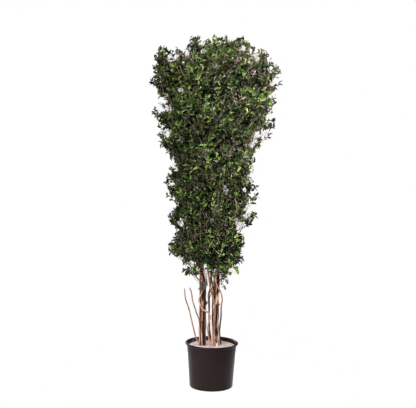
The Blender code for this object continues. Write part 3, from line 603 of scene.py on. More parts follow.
POT_TONES = ((0.0100, 0.0048, 0.0046), (0.016, 0.0100, 0.0098))
POT_ROUGHNESS = (0.25, 0.10, 0.06)
POT_RELIEF = 0.6
DUST_STOPS = ((0.45, 0.0), (0.85, 1.0))
DUST_SHARE = 0.35

PLASTER_TONES = ((0.42, 0.345, 0.32), (0.73, 0.64, 0.63))
PLASTER_STOPS = ((0.28, 0.0), (0.54, 1.0))
PLASTER_RELIEF = 0.7
# Painted shade on the plaster: a ramp along X darkens it to the right, where the stems and crown shade it
PAINTED_SHADE_STOPS = ((0.35, 0.0), (0.75, 0.22))
PAINTED_SHADE_SLOPE = 3.0
SPECK_TONE = (0.30, 0.22, 0.19)
SPECK_STOPS = ((0.60, 0.0), (0.74, 1.0))
SPECK_SHARE = 0.4

BARK_SHINE = {"roughness": 0.8, "specular": 0.12}
BARK_STREAKS = {"scale": 160.0, "stretch": (1.0, 1.0, 0.07), "detail": 5.0, "roughness": 0.65}
BARK_ROUGHEST = 0.9
BARK_SMOOTHING = 0.22
SIDE_STOPS = ((0.20, 0.0), (0.50, 1.0))
RIB_STOPS = ((0.48, 0.0), (0.76, 1.0))
STREAK_STOPS = ((0.32, 0.0), (0.66, 1.0))
STREAK_SHARE = 0.9
PATCH_SHARE = 0.5
# Each bark's groove tone is near black, painted shade laid in the grooves; its rib tone is partly its own and
# partly painted highlight.
BARKS = {
    "reddish": {"groove_shade": (0.020, 0.009, 0.006), "side": (0.145, 0.060, 0.038), "rib": (0.42, 0.255, 0.20)},
    "pale": {"groove_shade": (0.012, 0.006, 0.005), "side": (0.120, 0.056, 0.037), "rib": (0.94, 0.69, 0.55)},
    "dark": {"groove_shade": (0.016, 0.010, 0.009), "side": (0.095, 0.055, 0.048), "rib": (0.25, 0.165, 0.150)},
    "shoot": {"groove_shade": (0.034, 0.017, 0.013), "side": (0.19, 0.098, 0.066), "rib": (0.38, 0.235, 0.17)},
}

# Barks that change between two heights, each with the two tones of its streaks under and over the change
CHANGING_BARKS = {
    "winding": {"low": ((0.165, 0.068, 0.040), (0.54, 0.315, 0.215)),
                "high": ((0.160, 0.070, 0.040), (0.52, 0.33, 0.23)), "turns": (0.44, 0.50)},
    "bowed": {"low": ((0.018, 0.011, 0.009), (0.14, 0.075, 0.057)),
              "high": ((0.140, 0.060, 0.038), (0.48, 0.29, 0.21)), "turns": (0.43, 0.56)},
    "crossing": {"low": ((0.105, 0.044, 0.028), (0.40, 0.235, 0.17)),
                 "high": ((0.120, 0.036, 0.016), (0.36, 0.15, 0.072)), "turns": (0.46, 0.60)},
}

TWIG_TONES = ((0.075, 0.042, 0.034), (0.46, 0.29, 0.235))
LEAF_MOTTLE = (0.72, 1.3)
LEAF_ROUGHNESS = (0.27, 0.18)


def pot_plastic():
    """Brown-black moulded plastic with fine flow marks and a little dust."""
    finish = Finish("pot_plastic", roughness=0.30, specular=0.12)
    flow = finish.noise(scale=38.0, stretch=(1.0, 1.0, 0.08), detail=4.0)
    grain = finish.noise(scale=900.0, detail=2.0)
    dust = finish.ramp(finish.noise(scale=9.0, detail=5.0), *DUST_STOPS)
    finish.colour(finish.mixed(dust * DUST_SHARE, *POT_TONES))
    smoothest, by_flow, by_dust = POT_ROUGHNESS
    finish.roughness(smoothest + by_flow * flow + by_dust * dust)
    finish.bump(blended(flow, grain, POT_RELIEF), distance=0.0004, strength=0.5)
    return finish.material


def plaster():
    """Cast plaster, pale and pinkish, trowelled rough, with painted shade that darkens it to the right."""
    finish = Finish("plaster", roughness=0.92)
    cloud = finish.noise(scale=22.0, detail=5.0)
    speck = finish.ramp(finish.noise(scale=170.0, detail=2.0), *SPECK_STOPS)
    grain = finish.noise(scale=420.0, detail=4.0)
    # Painted shade: the plaster darkens towards +X
    painted_shade = finish.ramp(finish.coordinate(0) * PAINTED_SHADE_SLOPE + 0.5, *PAINTED_SHADE_STOPS)
    base = finish.mixed(finish.ramp(cloud - painted_shade, *PLASTER_STOPS), *PLASTER_TONES)
    finish.colour(finish.mixed(speck * SPECK_SHARE, base, SPECK_TONE))
    finish.bump(blended(cloud, grain, PLASTER_RELIEF), distance=0.002, strength=0.7)
    return finish.material


def bark(name, groove_shade, side, rib):
    """Fluted bark: near black in its grooves as painted shade, warm brown on its sides, and lighter along its
    ribs as its own pale tone and painted highlight.
    """
    finish = Finish(f"bark_{name}", **BARK_SHINE)
    relief = finish.node("ShaderNodeAttribute", {"attribute_name": "relief"}, output="Fac")
    streak = finish.noise(**BARK_STREAKS)
    patch = finish.noise(scale=26.0, stretch=(1.0, 1.0, 0.35))
    height = relief + STREAK_SHARE * (streak - 0.5) + PATCH_SHARE * (patch - 0.5)
    # Painted shade in the grooves, and partly painted highlight on the ribs
    lower = finish.mixed(finish.ramp(height, *SIDE_STOPS), groove_shade, side)
    finish.colour(finish.mixed(finish.ramp(height, *RIB_STOPS), lower, rib))
    finish.roughness(BARK_ROUGHEST - BARK_SMOOTHING * streak)
    finish.bump(streak, distance=0.0016, strength=0.8)
    return finish.material


def changing_bark(name, low, high, turns):
    """Bark that changes colour between two heights, streaked between two tones at each."""
    finish = Finish(f"bark_{name}", **BARK_SHINE)
    rise = finish.ramp(finish.coordinate(2), (turns[0], 0.0), (turns[1], 1.0))
    streak = finish.noise(**BARK_STREAKS)
    contrast = finish.ramp(streak, *STREAK_STOPS)
    finish.colour(finish.mixed(rise, finish.mixed(contrast, *low), finish.mixed(contrast, *high)))
    finish.bump(streak, distance=0.0012, strength=0.8)
    return finish.material


def twig_bark():
    """Thin bark, pinkish brown and streaked."""
    finish = Finish("twig_bark", roughness=0.75, specular=0.25)
    finish.colour(finish.mixed(finish.noise(scale=120.0, stretch=(1.0, 1.0, 0.2)), *TWIG_TONES))
    return finish.material


def leaf_finish(name, colour):
    """Waxy leaves of one tint, with a faint mottle."""
    finish = Finish(f"leaf_{name}", roughness=0.36, specular=0.28)
    mottle = finish.noise(scale=55.0, detail=2.0)
    finish.colour(finish.mixed(mottle, *(tuple(part * share for part in colour) for share in LEAF_MOTTLE)))
    smoothest, by_mottle = LEAF_ROUGHNESS
    finish.roughness(smoothest + by_mottle * mottle)
    return finish.material


# Making pieces

def keep(name, mesh, finish, slot, *nodes):
    """Makes a mesh a piece of the plant that stands for its CAD nodes."""
    mesh.materials.clear()
    mesh.materials.append(finish)
    piece = bpy.data.objects.new(name, mesh)
    bpy.context.scene.collection.objects.link(piece)
    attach(piece, "root")
    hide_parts(*nodes)


def mesh_of(name, bm, sharp=40):
    """A mesh from a bmesh, shaded smooth where it is round."""
    bmesh.ops.remove_doubles(bm, verts=bm.verts, dist=MERGE)
    bmesh.ops.recalc_face_normals(bm, faces=bm.faces)
    mesh = bpy.data.meshes.new(name)
    bm.to_mesh(mesh)
    bm.free()
    mesh.shade_smooth()
    mesh.set_sharp_from_angle(angle=math.radians(sharp))
    return mesh


def turned(profile, steps):
    """A solid of revolution about Z from (radius, height) points."""
    bm = bmesh.new()
    points = [bm.verts.new((radius, 0.0, height)) for radius, height in profile]
    edges = [bm.edges.new(pair) for pair in zip(points, points[1:])]
    bmesh.ops.spin(bm, geom=points + edges, axis=(0, 0, 1), cent=(0, 0, 0), angle=TAU, steps=steps,
                   use_merge=True)
    return bm


def arc(centre, radius, start, end, steps):
    """Points of an arc in a turned profile's plane, in degrees from +X."""
    angles = [math.radians(start + (end - start) * i / steps) for i in range(steps + 1)]
    return [(centre[0] + radius * math.cos(a), centre[1] + radius * math.sin(a)) for a in angles]


def straight(start, end, steps):
    """Points of a straight run between two profile points, without its ends."""
    return [(start[0] + (end[0] - start[0]) * i / steps, start[1] + (end[1] - start[1]) * i / steps)
            for i in range(1, steps)]


def wave_field(seed, around, along, count):
    """A field of waves that close round a limb: a function of angle and of distance along it."""
    rng = np.random.default_rng(seed)
    turns = rng.integers(around[0], around[1] + 1, count)
    pitches = rng.uniform(*along, count) * rng.choice((-1, 1), count)
    phases = rng.uniform(0, TAU, count)

    def field(angle, run):
        total = sum(np.sin(n * angle + f * run + p) for n, f, p in zip(turns, pitches, phases))
        return total / math.sqrt(count)

    return field


# Pot and plaster

def make_pot():
    """The pot: a tapering shell with a rounded foot, a shallow band and a rolled rim."""
    band_foot = POT_HEIGHT - BAND_DEPTH
    band_radius = SHOULDER_RADIUS + BAND_STEP
    shoulder = (SHOULDER_RADIUS, band_foot)
    inner_lip = (SHOULDER_RADIUS - WALL, POT_HEIGHT - LIP_DEPTH)
    inner_foot = (BASE_RADIUS - WALL, WALL)
    foot = arc((BASE_RADIUS - BASE_ROUNDING, BASE_ROUNDING), BASE_ROUNDING, *FOOT_ARC)
    band = [shoulder, (band_radius - BAND_BEVEL, band_foot + BAND_STEP * BEVEL_SHARE),
            (band_radius, band_foot + BAND_STEP), (band_radius, POT_HEIGHT - 2 * RIM_BEAD)]
    rim = arc((RIM_RADIUS - RIM_BEAD, POT_HEIGHT - RIM_BEAD), RIM_BEAD, *RIM_ARC)
    profile = [(0.0, 0.0), *foot, *straight(foot[-1], shoulder, WALL_STEPS), *band, *rim, inner_lip,
               *straight(inner_lip, inner_foot, WALL_STEPS), inner_foot, (0.0, WALL)]
    keep("pot_shell", mesh_of("pot_shell", turned(profile, POT_STEPS)), pot_plastic(), "pot", "pot")


def make_plaster(stems):
    """The plaster, trowelled by hand: wavy on top, level at the wall and a little raised round each stem."""
    top = [(FILL_RADIUS * i / PLASTER_RINGS, FILL_TOP) for i in range(PLASTER_RINGS + 1)]
    bm = turned([*top, (BASE_RADIUS - WALL - PLASTER_GAP, FILL_FLOOR), (0.0, FILL_FLOOR)], POT_STEPS)
    bmesh.ops.remove_doubles(bm, verts=bm.verts, dist=MERGE)
    rng = np.random.default_rng(RIPPLE_SEED)
    waves = [(rng.uniform(-1, 1, 2) * rng.uniform(*RIPPLE_PITCHES), rng.uniform(0, TAU))
             for _ in range(RIPPLES)]
    feet = [(stem.places([0.0])[0], stem.radii(np.array([0.0]))[0]) for stem in stems.values()]
    for vert in bm.verts:
        if vert.co.z < FILL_TOP - TOP_MARGIN:
            continue
        at = np.array(vert.co)
        ripple = sum(math.sin(pitch @ at[:2] + phase) / (1 + RIPPLE_FADE * np.linalg.norm(pitch))
                     for pitch, phase in waves) / RIPPLE_SHARE
        nearest = min(max(np.linalg.norm(at[:2] - foot[:2]) - radius, 0.0) for foot, radius in feet)
        flat = min((FILL_RADIUS - np.linalg.norm(at[:2])) / LEVEL_EDGE, 1.0)
        vert.co.z += RIPPLE_HEIGHT * ripple * flat + COLLAR_HEIGHT * math.exp(-nearest / COLLAR_WIDTH)
    keep("plaster_bed", mesh_of("plaster_bed", bm, sharp=60), plaster(), "plaster", "fill")


# Limbs

class Route:
    """A smooth curve through given points, with a radius that tapers along it."""

    def __init__(self, points, radii_at=None):
        points = [Vector(point) for point in points]
        ends = [points[0] * 2 - points[1], *points, points[-1] * 2 - points[-2]]
        dense = []
        for before, here, after, beyond in zip(ends, ends[1:], ends[2:], ends[3:]):
            leave, arrive = here + (after - before) / CURVE_EASE, after - (beyond - here) / CURVE_EASE
            dense += interpolate_bezier(here, leave, arrive, after, CURVE_SAMPLES)[:-1]
        dense.append(points[-1])
        self.line = np.array([tuple(point) for point in dense])
        self.marks = np.concatenate(([0.0], np.cumsum(np.linalg.norm(np.diff(self.line, axis=0), axis=1))))
        self.length = self.marks[-1]
        self.radii_at = radii_at

    def places(self, runs):
        """Points at distances along the curve, carried straight on below its foot."""
        found = np.column_stack([np.interp(runs, self.marks, self.line[:, axis]) for axis in range(3)])
        before = np.minimum(np.asarray(runs), 0.0)
        return found + before[:, None] * unit(self.line[1] - self.line[0])

    def radii(self, runs):
        return self.radii_at(self, np.clip(runs, 0.0, self.length))

    def heading(self, run):
        """The direction of the curve at a distance along it."""
        ends = self.places(np.array([run - HEADING_STEP, run]))
        return unit(ends[1] - ends[0])

    def at_height(self, height):
        """The distance along the curve at which it first passes a height."""
        return float(self.marks[np.argmax(self.line[:, 2] >= height)])


def unit(vectors):
    """Vectors of length 1, along the last axis."""
    vectors = np.asarray(vectors, float)
    return vectors / np.maximum(np.linalg.norm(vectors, axis=-1, keepdims=True), TINY)


def frames_along(route, runs):
    """Side and across directions at distances along a route, carried along it without twist."""
    points = route.places(runs)
    ahead = unit(np.gradient(points, axis=0))
    side = RIGHT if abs(ahead[0][2]) > UPRIGHT_LIMB else unit(np.cross(ahead[0], UP))
    sides = []
    for direction in ahead:
        side = unit(side - direction * (side @ direction))
        sides.append(side)
    sides = np.array(sides)
    return points, sides, np.cross(ahead, sides)


def ring_runs(length, visible):
    """Distances of a limb's rings: close together on its visible stretch, wider above it."""
    near, far = RING_SPACING
    low = np.arange(-STEM_SUNK, min(visible, length), near)
    high = np.arange(low[-1] + near, length, far if visible < length else near)
    return np.concatenate((low, high, [length]))


def turned_from(angle, centre):
    """How far angles lie from a centre, between half a turn back and half a turn on."""
    return (angle - centre + math.pi) % TAU - math.pi


def grooved(angle, run, height, grooves, wander):
    """How deep the grooves cut at each angle and distance, as a share of the radius."""
    cut = np.zeros_like(angle)
    for number, (degrees, width, depth, *reach) in enumerate(grooves):
        centre = math.radians(degrees) + wander(np.full_like(angle, number * WANDER_PHASE), run) * WANDER
        pitch = SWELL_PITCH + SWELL_PITCH_STEP * number
        fade = GROOVE_LEVEL + GROOVE_SWELL * np.sin(run * pitch + number * SWELL_PHASE)
        if reach:
            fade = fade * np.clip(np.minimum(height - reach[0], reach[1] - height) / GROOVE_END, 0, 1)
        cut += depth * fade * np.exp(-(turned_from(angle, centre) / math.radians(width)) ** 2)
    return cut


def make_limb(name, route, sides, grooves, visible, seed, knots=(), cut_end=False):
    """A limb with its bark's relief: ribs between grooves, lumps, fibres and knots."""
    runs = ring_runs(route.length, visible)
    radii = route.radii(runs)
    if cut_end:
        runs, radii = np.append(runs, route.length), np.append(radii, 0.0)
    else:
        left = (route.length - runs) / radii
        radii = radii * np.sqrt(np.clip(1 - (1 - np.clip(left, 0, 1)) ** 2, 0, 1))
    runs, radii = np.insert(runs, 0, runs[0]), np.insert(radii, 0, 0.0)
    points, side, across = frames_along(route, runs + np.arange(len(runs)) * RUN_MARGIN)

    bm = bmesh.new()
    bmesh.ops.create_grid(bm, x_segments=sides, y_segments=len(runs) - 1, size=1.0)
    spots = np.array([(vert.co.x, vert.co.y) for vert in bm.verts]) / 2 + 0.5
    ring = np.rint(spots[:, 1] * (len(runs) - 1)).astype(int)
    angle = (np.rint(spots[:, 0] * sides) % sides) * TAU / sides
    run = runs[ring]

    lumps = wave_field(seed, *LUMP_WAVES)(angle, run)
    fibres = wave_field(seed + 1, *FIBRE_WAVES)(angle, run)
    cut = grooved(angle, run, points[ring][:, 2], grooves, wave_field(seed + 2, *WANDER_WAVES))
    share = 1.0 + LUMPS * lumps + FIBRES * fibres - cut
    # The colour value falls in the grooves, which paints shade there; fibres, lumps and knots vary the bark's
    # own tone.
    relief = TONE_AND_GROOVE_SHADE["level"] + TONE_AND_GROOVE_SHADE["fibres"] * fibres + TONE_AND_GROOVE_SHADE["lumps"] * lumps - cut * TONE_AND_GROOVE_SHADE["grooves"]
    for height, degrees, radius, rise in knots:
        aside = turned_from(angle, math.radians(degrees)) * radii[ring]
        spread = (aside ** 2 + (run - route.at_height(height)) ** 2) / radius ** 2
        share += rise * np.exp(-spread)
        relief -= TONE_AND_GROOVE_SHADE["knots"] * np.exp(-spread * TONE_AND_GROOVE_SHADE["knot_narrowing"])
    reach = (radii[ring] * share)[:, None]
    out = np.cos(angle)[:, None] * side[ring] + np.sin(angle)[:, None] * across[ring]
    placed = points[ring] + reach * out

    layer = bm.verts.layers.float.new("relief")
    for vert, place, height in zip(bm.verts, placed, relief):
        vert.co = place
        vert[layer] = height
    return mesh_of(name, bm, sharp=70)


def make_strands(barks):
    """Thin strands that run between the stems, those of one bark joined."""
    for kind in dict.fromkeys(bark for _, _, bark in STRANDS):
        groups = []
        for points, radius, _ in (strand for strand in STRANDS if strand[2] == kind):
            route = Route(points)
            line = route.places(np.linspace(0, route.length, STRAND_STEPS))
            groups.append(([line], (radius, radius * STRAND_TAPER), STRAND_SIDES))
        mesh = joined_tubes(f"strands_{kind}", groups)
        keep(f"strands_{kind}", mesh, barks[kind], "bark_dark", "trunk_left", "trunk_right")


def read_table(table, at):
    """Straight-line values of a table of (position, value) at positions."""
    return np.interp(at, [position for position, _ in table], [value for _, value in table])


def stem_radii(spec):
    """A stem's radius along its route, from its foot's, fork's and tip's radii."""
    foot, under_fork, over_fork, tip = spec["radii"]
    top = spec["route"][-1][2]
    known = [(FOOT, foot), (UNDER_FORK, under_fork), (OVER_FORK, over_fork), (top, tip)]
    if top <= OVER_FORK:
        known = [(FOOT, foot), (top, tip)]
    return lambda route, runs: read_table(known, route.places(runs)[:, 2])


def make_stems(barks):
    """Every stem from the plaster up, with its bark's relief."""
    stems = {}
    for number, (name, spec) in enumerate(STEMS.items()):
        route = Route(spec["route"], stem_radii(spec))
        mesh = make_limb(f"bark_{name}", route, spec["sides"], spec["grooves"], VISIBLE_STEM,
                         STEM_SEED + number * SEED_STEP, KNOTS.get(name, ()), name.startswith("shoot"))
        keep(f"bark_{name}", mesh, barks[spec["bark"]], spec["slot"], name)
        stems[name] = route
    return stems


# The crown's plan

def outward(facing):
    """The level direction that faces an angle in degrees."""
    return np.array((math.cos(math.radians(facing)), math.sin(math.radians(facing)), 0.0))


def by_side(tables, at, share, to_right):
    """Reads the table of each point's side, and the mean of both in front and behind."""
    left, right = read_table(tables["left"], at), read_table(tables["right"], at)
    return np.where(to_right, right, left) * share + (left + right) / 2 * (1 - share)


def crown_reach(heights, directions):
    """How far the crown reaches at heights, in level directions from its axis."""
    share = directions[:, 0] ** 2 / np.maximum((directions[:, :2] ** 2).sum(axis=1), TINY)
    return by_side(CROWN_REACH, heights, share, directions[:, 0] > 0)


def from_axis(points):
    """Points as seen from the crown's axis, and their distances from it."""
    level = points - CROWN_AXIS
    return level, np.hypot(level[:, 0], level[:, 1])


def in_crown(points):
    """Which points lie inside the solids' crown, which is the smoother one."""
    level, distance = from_axis(points)
    roof = TREE_HEIGHT - TOP_FALL * np.maximum(distance - TOP_FLAT_RADIUS, 0.0)
    return (points[:, 2] > CROWN_FOOT) & (points[:, 2] < roof) & (distance < crown_reach(points[:, 2], level))


# Round the crown and up it: its hollows, and its fringe's raggedness
LUMPS_ROUND = wave_field(5, (2, 6), (18, 42), 16)
FRINGE_ROUND = wave_field(9, (5, 14), (45, 110), 24)


def outline_at(points):
    """Each point's distance from the crown's axis, and the reach and roof of the outline there."""
    level, distance = from_axis(points)
    share = level[:, 0] ** 2 / np.maximum(distance ** 2, TINY)
    angle = np.arctan2(level[:, 1], level[:, 0])
    hollow = np.clip(LUMPS_ROUND(angle, points[:, 2]) * 0.5 + 0.5, 0, 1) * (1 - share ** 2)
    reach = by_side(OUTLINE, points[:, 2], share, level[:, 0] > 0) * (1 - RAGGED * hollow)
    roof = by_side(ROOF, distance, share, level[:, 0] > 0) - ROOF_RAGGED * hollow
    return distance, angle, reach, roof


def off_gaps(points, rng):
    """Which points leave the crown's sky gaps open, with frayed edges."""
    sight = unit(np.array([(x, 0.0, height) for x, height, _ in SKY_GAPS]) - CAMERA_PLACE)
    to_point = points - CAMERA_PLACE + rng.normal(0.0, GAP_FRAY, points.shape)
    aside = np.sqrt(np.maximum((to_point ** 2).sum(axis=1)[:, None] - (to_point @ sight.T) ** 2, 0.0))
    return (aside > np.array([radius for _, _, radius in SKY_GAPS]) + GAP_MARGIN).all(axis=1)


def in_outline(points):
    """Which points lie inside the crown's outline, where its sprigs may reach."""
    distance, _, reach, roof = outline_at(points)
    return (points[:, 2] > CROWN_FOOT) & (points[:, 2] < roof) & (distance < reach)


def in_body(points):
    """Which points lie in the body of the crown, under its ragged fringe."""
    distance, angle, reach, roof = outline_at(points)
    fringe = np.clip(FRINGE_ROUND(angle, points[:, 2]) * FRINGE_SWING + 0.5, 0, 1)
    inside = (points[:, 2] < roof - ROOF_FRINGE * fringe) & (distance < reach * (1 - FRINGE * fringe))
    return (points[:, 2] > CROWN_FOOT) & inside


def above_edge(points, rng):
    """Which points lie above the crown's lower edge as the camera sees it, frayed a little."""
    step = CAMERA_PLACE[1] / (CAMERA_PLACE[1] - points[:, 1:2])
    seen = CAMERA_PLACE + (points - CAMERA_PLACE) * step
    edge = np.interp(seen[:, 0], *np.array(LOW_EDGE).T)
    return seen[:, 2] > edge + rng.normal(0.0, LOW_FRAY, len(points))


def leafy(points, rng):
    """Which points bear leaves: all of the crown's shell, and few in its hollow inside."""
    distance, _, reach, roof = outline_at(points)
    depth = np.minimum(reach - distance, roof - points[:, 2])
    return (depth < LEAFY_DEPTH) | (rng.random(len(points)) < INNER_LEAVES)


def anywhere(points):
    """Every point."""
    return np.ones(len(points), bool)


def within_tip(points, tip):
    """Which points reach no further from the crown's axis, and no higher, than one of its tips."""
    reach, top = abs(tip[0] - CROWN_X) + TIP_SPRIG["spare"], tip[1] + TIP_SPRIG["spare"]
    return (from_axis(points)[1] < reach) & (points[:, 2] < top)


def in_core(points):
    """Which points lie deep enough for the thicker twigs."""
    distance, _, reach, roof = outline_at(points)
    return (points[:, 2] < roof - CORE_DEPTH) & (distance < reach - CORE_DEPTH)


def mass_centre(name, facing, height):
    """The middle of a mass's space."""
    direction = outward(facing)
    reach = crown_reach(np.array([height]), direction[None])[0] * CENTRE_SHARE
    if name.startswith("top"):
        reach = TOP_CENTRE_REACH
    return np.array((CROWN_X, 0.0, height)) + direction * reach


def mass_plan():
    """Each mass's stem, facing, centre and whether it stands on the stem's tip."""
    plan = {}
    for column, spec in COLUMNS.items():
        for i, height in enumerate(spec["heights"]):
            facing = spec["facing"] + FACING_SWING * math.sin(FACING_TURN * i + spec["facing"])
            on_tip = spec.get("tip", False) and i == len(spec["heights"]) - 1
            plan[f"{column}_{i + 1}"] = (spec["stem"], facing, height, on_tip)
    for name, spec in SINGLE_MASSES.items():
        plan[name] = (spec["stem"], spec["facing"], spec["height"], True)
    return {
        name: {"stem": stem, "facing": facing, "on_tip": on_tip, "centre": mass_centre(name, facing, height)}
        for name, (stem, facing, height, on_tip) in plan.items()
    }


class Cell:
    """The space of one mass: inside the crown, and nearer its centre than to any other's."""

    def __init__(self, name, plan):
        self.centre = plan[name]["centre"]
        others = np.array([spec["centre"] for other, spec in plan.items() if other != name])
        self.away = unit(others - self.centre)
        self.on = (others + self.centre) / 2

    def holds(self, points):
        """Which points lie in the space."""
        beyond = np.einsum("pwk,wk->pw", points[:, None, :] - self.on[None], self.away)
        return in_crown(points) & (beyond < 0.0).all(axis=1)

    def ray(self, start, aim, longest):
        """How far a straight line stays in the space, up to a longest value."""
        steps = np.arange(RAY_STEP, longest + RAY_STEP, RAY_STEP)
        return np.cumprod(self.holds(start + aim * steps[:, None])).sum() * RAY_STEP


def bough_radii(thick):
    """A bough's radius along its route, from its root's to its tip's."""
    return lambda route, runs: thick + (BOUGH_TIP_RADIUS - thick) * runs / route.length


def make_boughs(plan, cells, stems, barks):
    """One bough from its stem to each mass that isn't on a stem's tip. Returns the boughs and roots."""
    boughs, roots = {}, {}
    for number, (name, spec) in enumerate(plan.items()):
        stem = stems[spec["stem"]]
        if spec["on_tip"]:
            roots[name] = (stem.places([stem.length])[0], stem.heading(stem.length))
            continue
        run = stem.at_height(max(spec["centre"][2] - BOUGH_DROP, UNDER_FORK))
        start, stem_radius = stem.places([run])[0], stem.radii(np.array([run]))[0]
        away = outward(spec["facing"])
        radius = min(stem_radius * BOUGH_SHARE, BOUGH_THICKEST)
        end = start + away * (stem_radius + BOUGH_REACH) + UP * BOUGH_RISE
        while not cells[name].holds((end - UP * ROOT_DEPTH)[None])[0]:
            end = end + UP * BOUGH_LIFT_STEP
        middle = (start + end) / 2 + away * BOUGH_BOW - UP * BOUGH_SAG
        route = Route([start, middle, end], bough_radii(radius))
        mesh = make_limb(f"bark_bough_{name}", route, BOUGH_SIDES, BOUGH_GROOVES, route.length,
                         BOUGH_SEED + number * SEED_STEP)
        stem_spec = STEMS[spec["stem"]]
        keep(f"bark_bough_{name}", mesh, barks[stem_spec["bark"]], stem_spec["slot"], f"bough_{name}")
        boughs[f"bough_{name}"] = route
        roots[name] = (route.places([route.length])[0], route.heading(route.length))
    return boughs, roots


# Growth

class Limbs:
    """The limbs as rows of balls, to keep leaves and twigs off them."""

    def __init__(self, routes):
        middles, reaches = [], []
        for route in routes:
            runs = np.arange(0.0, route.length, LIMB_SAMPLE)
            middles.append(route.places(runs))
            reaches.append(route.radii(runs) + LIMB_CLEARANCE)
        self.middles = np.concatenate(middles)
        self.reaches = np.concatenate(reaches)

    def near(self, centre, span):
        """Only the balls near a place, for speed."""
        kept = np.linalg.norm(self.middles - centre, axis=1) < span
        part = object.__new__(Limbs)
        part.middles, part.reaches = self.middles[kept], self.reaches[kept]
        return part

    def clear_of(self, points):
        """Which points touch no limb."""
        if not len(self.middles):
            return np.ones(len(points), bool)
        apart = np.linalg.norm(points[:, None] - self.middles[None], axis=2)
        return (apart > self.reaches[None]).all(axis=1)


def spread_from(headings, turns, angles):
    """Directions that leave headings at angles, turned about them."""
    level = np.where(np.abs(headings[:, 2:3]) > UPRIGHT_TWIG, RIGHT[None], UP[None])
    side = unit(np.cross(headings, level))
    across = np.cross(headings, side)
    swing = np.cos(turns)[:, None] * side + np.sin(turns)[:, None] * across
    return unit(headings * np.cos(angles)[:, None] + swing * np.sin(angles)[:, None])


def place_on(lines, shares):
    """Points and headings on polylines at shares of their length (their steps are even)."""
    steps = lines.shape[1] - 1
    at = np.clip(shares * steps, 0, steps - SHARE_MARGIN)
    low = at.astype(int)
    row = np.arange(len(lines))
    here, beyond = lines[row, low], lines[row, low + 1]
    return here + (beyond - here) * (at - low)[:, None], unit(beyond - here)


def grow(kind, rng, allowed, limbs, bearers, branching=False, tip_outside=None):
    """Twigs of one kind where a test allows, the emptiest places first. They leave their bearers, and one
    another when branching."""
    count, tries = kind["count"], kind["options"]
    bearers = np.array(bearers)
    grown, ends = [], np.zeros((count, 3))
    for number in range(count):
        pick = rng.integers(0, len(bearers), tries)
        at, headings = place_on(bearers[pick], rng.uniform(*kind["places"], tries))
        turns = math.radians(GOLDEN_ANGLE) * (number * tries + np.arange(tries))
        out = spread_from(headings, turns, np.radians(rng.uniform(*kind["spread"], tries)))
        lines = twig_routes(kind, rng, at, out, rng.uniform(*kind["length"], tries))
        inside = allowed(lines[:, 1:].reshape(-1, 3)).reshape(tries, -1).all(axis=1)
        if tip_outside:
            inside &= ~tip_outside(lines[:, -1])
        lines = lines[inside]
        places = lines.mean(axis=1) * MIDDLE_WEIGHT + lines[:, -1] * TIP_WEIGHT
        apart = ((places[:, None] - ends[None, :len(grown)]) ** 2).sum(axis=2).min(axis=1, initial=1.0)
        for best in np.argsort(-apart):
            if limbs.clear_of(lines[best, 1:]).all():
                ends[len(grown)] = places[best]
                grown.append(lines[best])
                if branching:
                    bearers = np.concatenate((bearers, lines[best][None]))
                break
    return grown


def twig_routes(kind, rng, starts, headings, lengths):
    """Twigs that leave on their headings and lift towards the light, in even steps."""
    steps = kind["points"] - 1
    lines = [starts]
    for _ in range(steps):
        sway = rng.uniform(-1, 1, starts.shape) * kind["sway"] * SWAY_SHARES
        headings = unit(headings + sway + UP * kind["lift"] / steps)
        lines.append(lines[-1] + headings * (lengths / steps)[:, None])
    return np.stack(lines, axis=1)


def main_stem(facing, cell, root, limbs):
    """A mass's main stem, from the bough's tip towards the far upper corner of its cell."""
    start, heading = root
    for swing in MAIN_SWINGS:
        for lift in MAIN_LIFTS:
            aim = unit(outward(facing + swing) + UP * lift)
            length = cell.ray(start, aim, MAIN_LONGEST) - MAIN_MARGIN
            if length < MAIN_SHORTEST:
                continue
            end = start + aim * length
            bend = start + heading * length * MAIN_BEND
            points = interpolate_bezier(Vector(start), Vector(bend), Vector((bend + end) / 2), Vector(end),
                                        MAIN_POINTS)
            line = np.array([tuple(point) for point in points])
            if limbs.clear_of(line[MAIN_FREE_FROM:]).all():
                return line
    raise ValueError("no main stem fits in a mass's cell")


def grow_mass(facing, cell, root, limbs, number):
    """The main stem and the side twigs of one mass of foliage, in its cell."""
    limbs = limbs.near(cell.centre, NEARBY)
    main = main_stem(facing, cell, root, limbs)
    sides = grow(SIDE_TWIG, np.random.default_rng(FIRST_SEED + number),
                 lambda points: cell.holds(points) & in_core(points), limbs,
                 [resample(main, SIDE_TWIG["points"])], branching=True)
    return main, sides


def resample(line, count):
    """A polyline with another number of even steps."""
    old, new = np.linspace(0, 1, len(line)), np.linspace(0, 1, count)
    return np.column_stack([np.interp(new, old, line[:, axis]) for axis in range(3)])


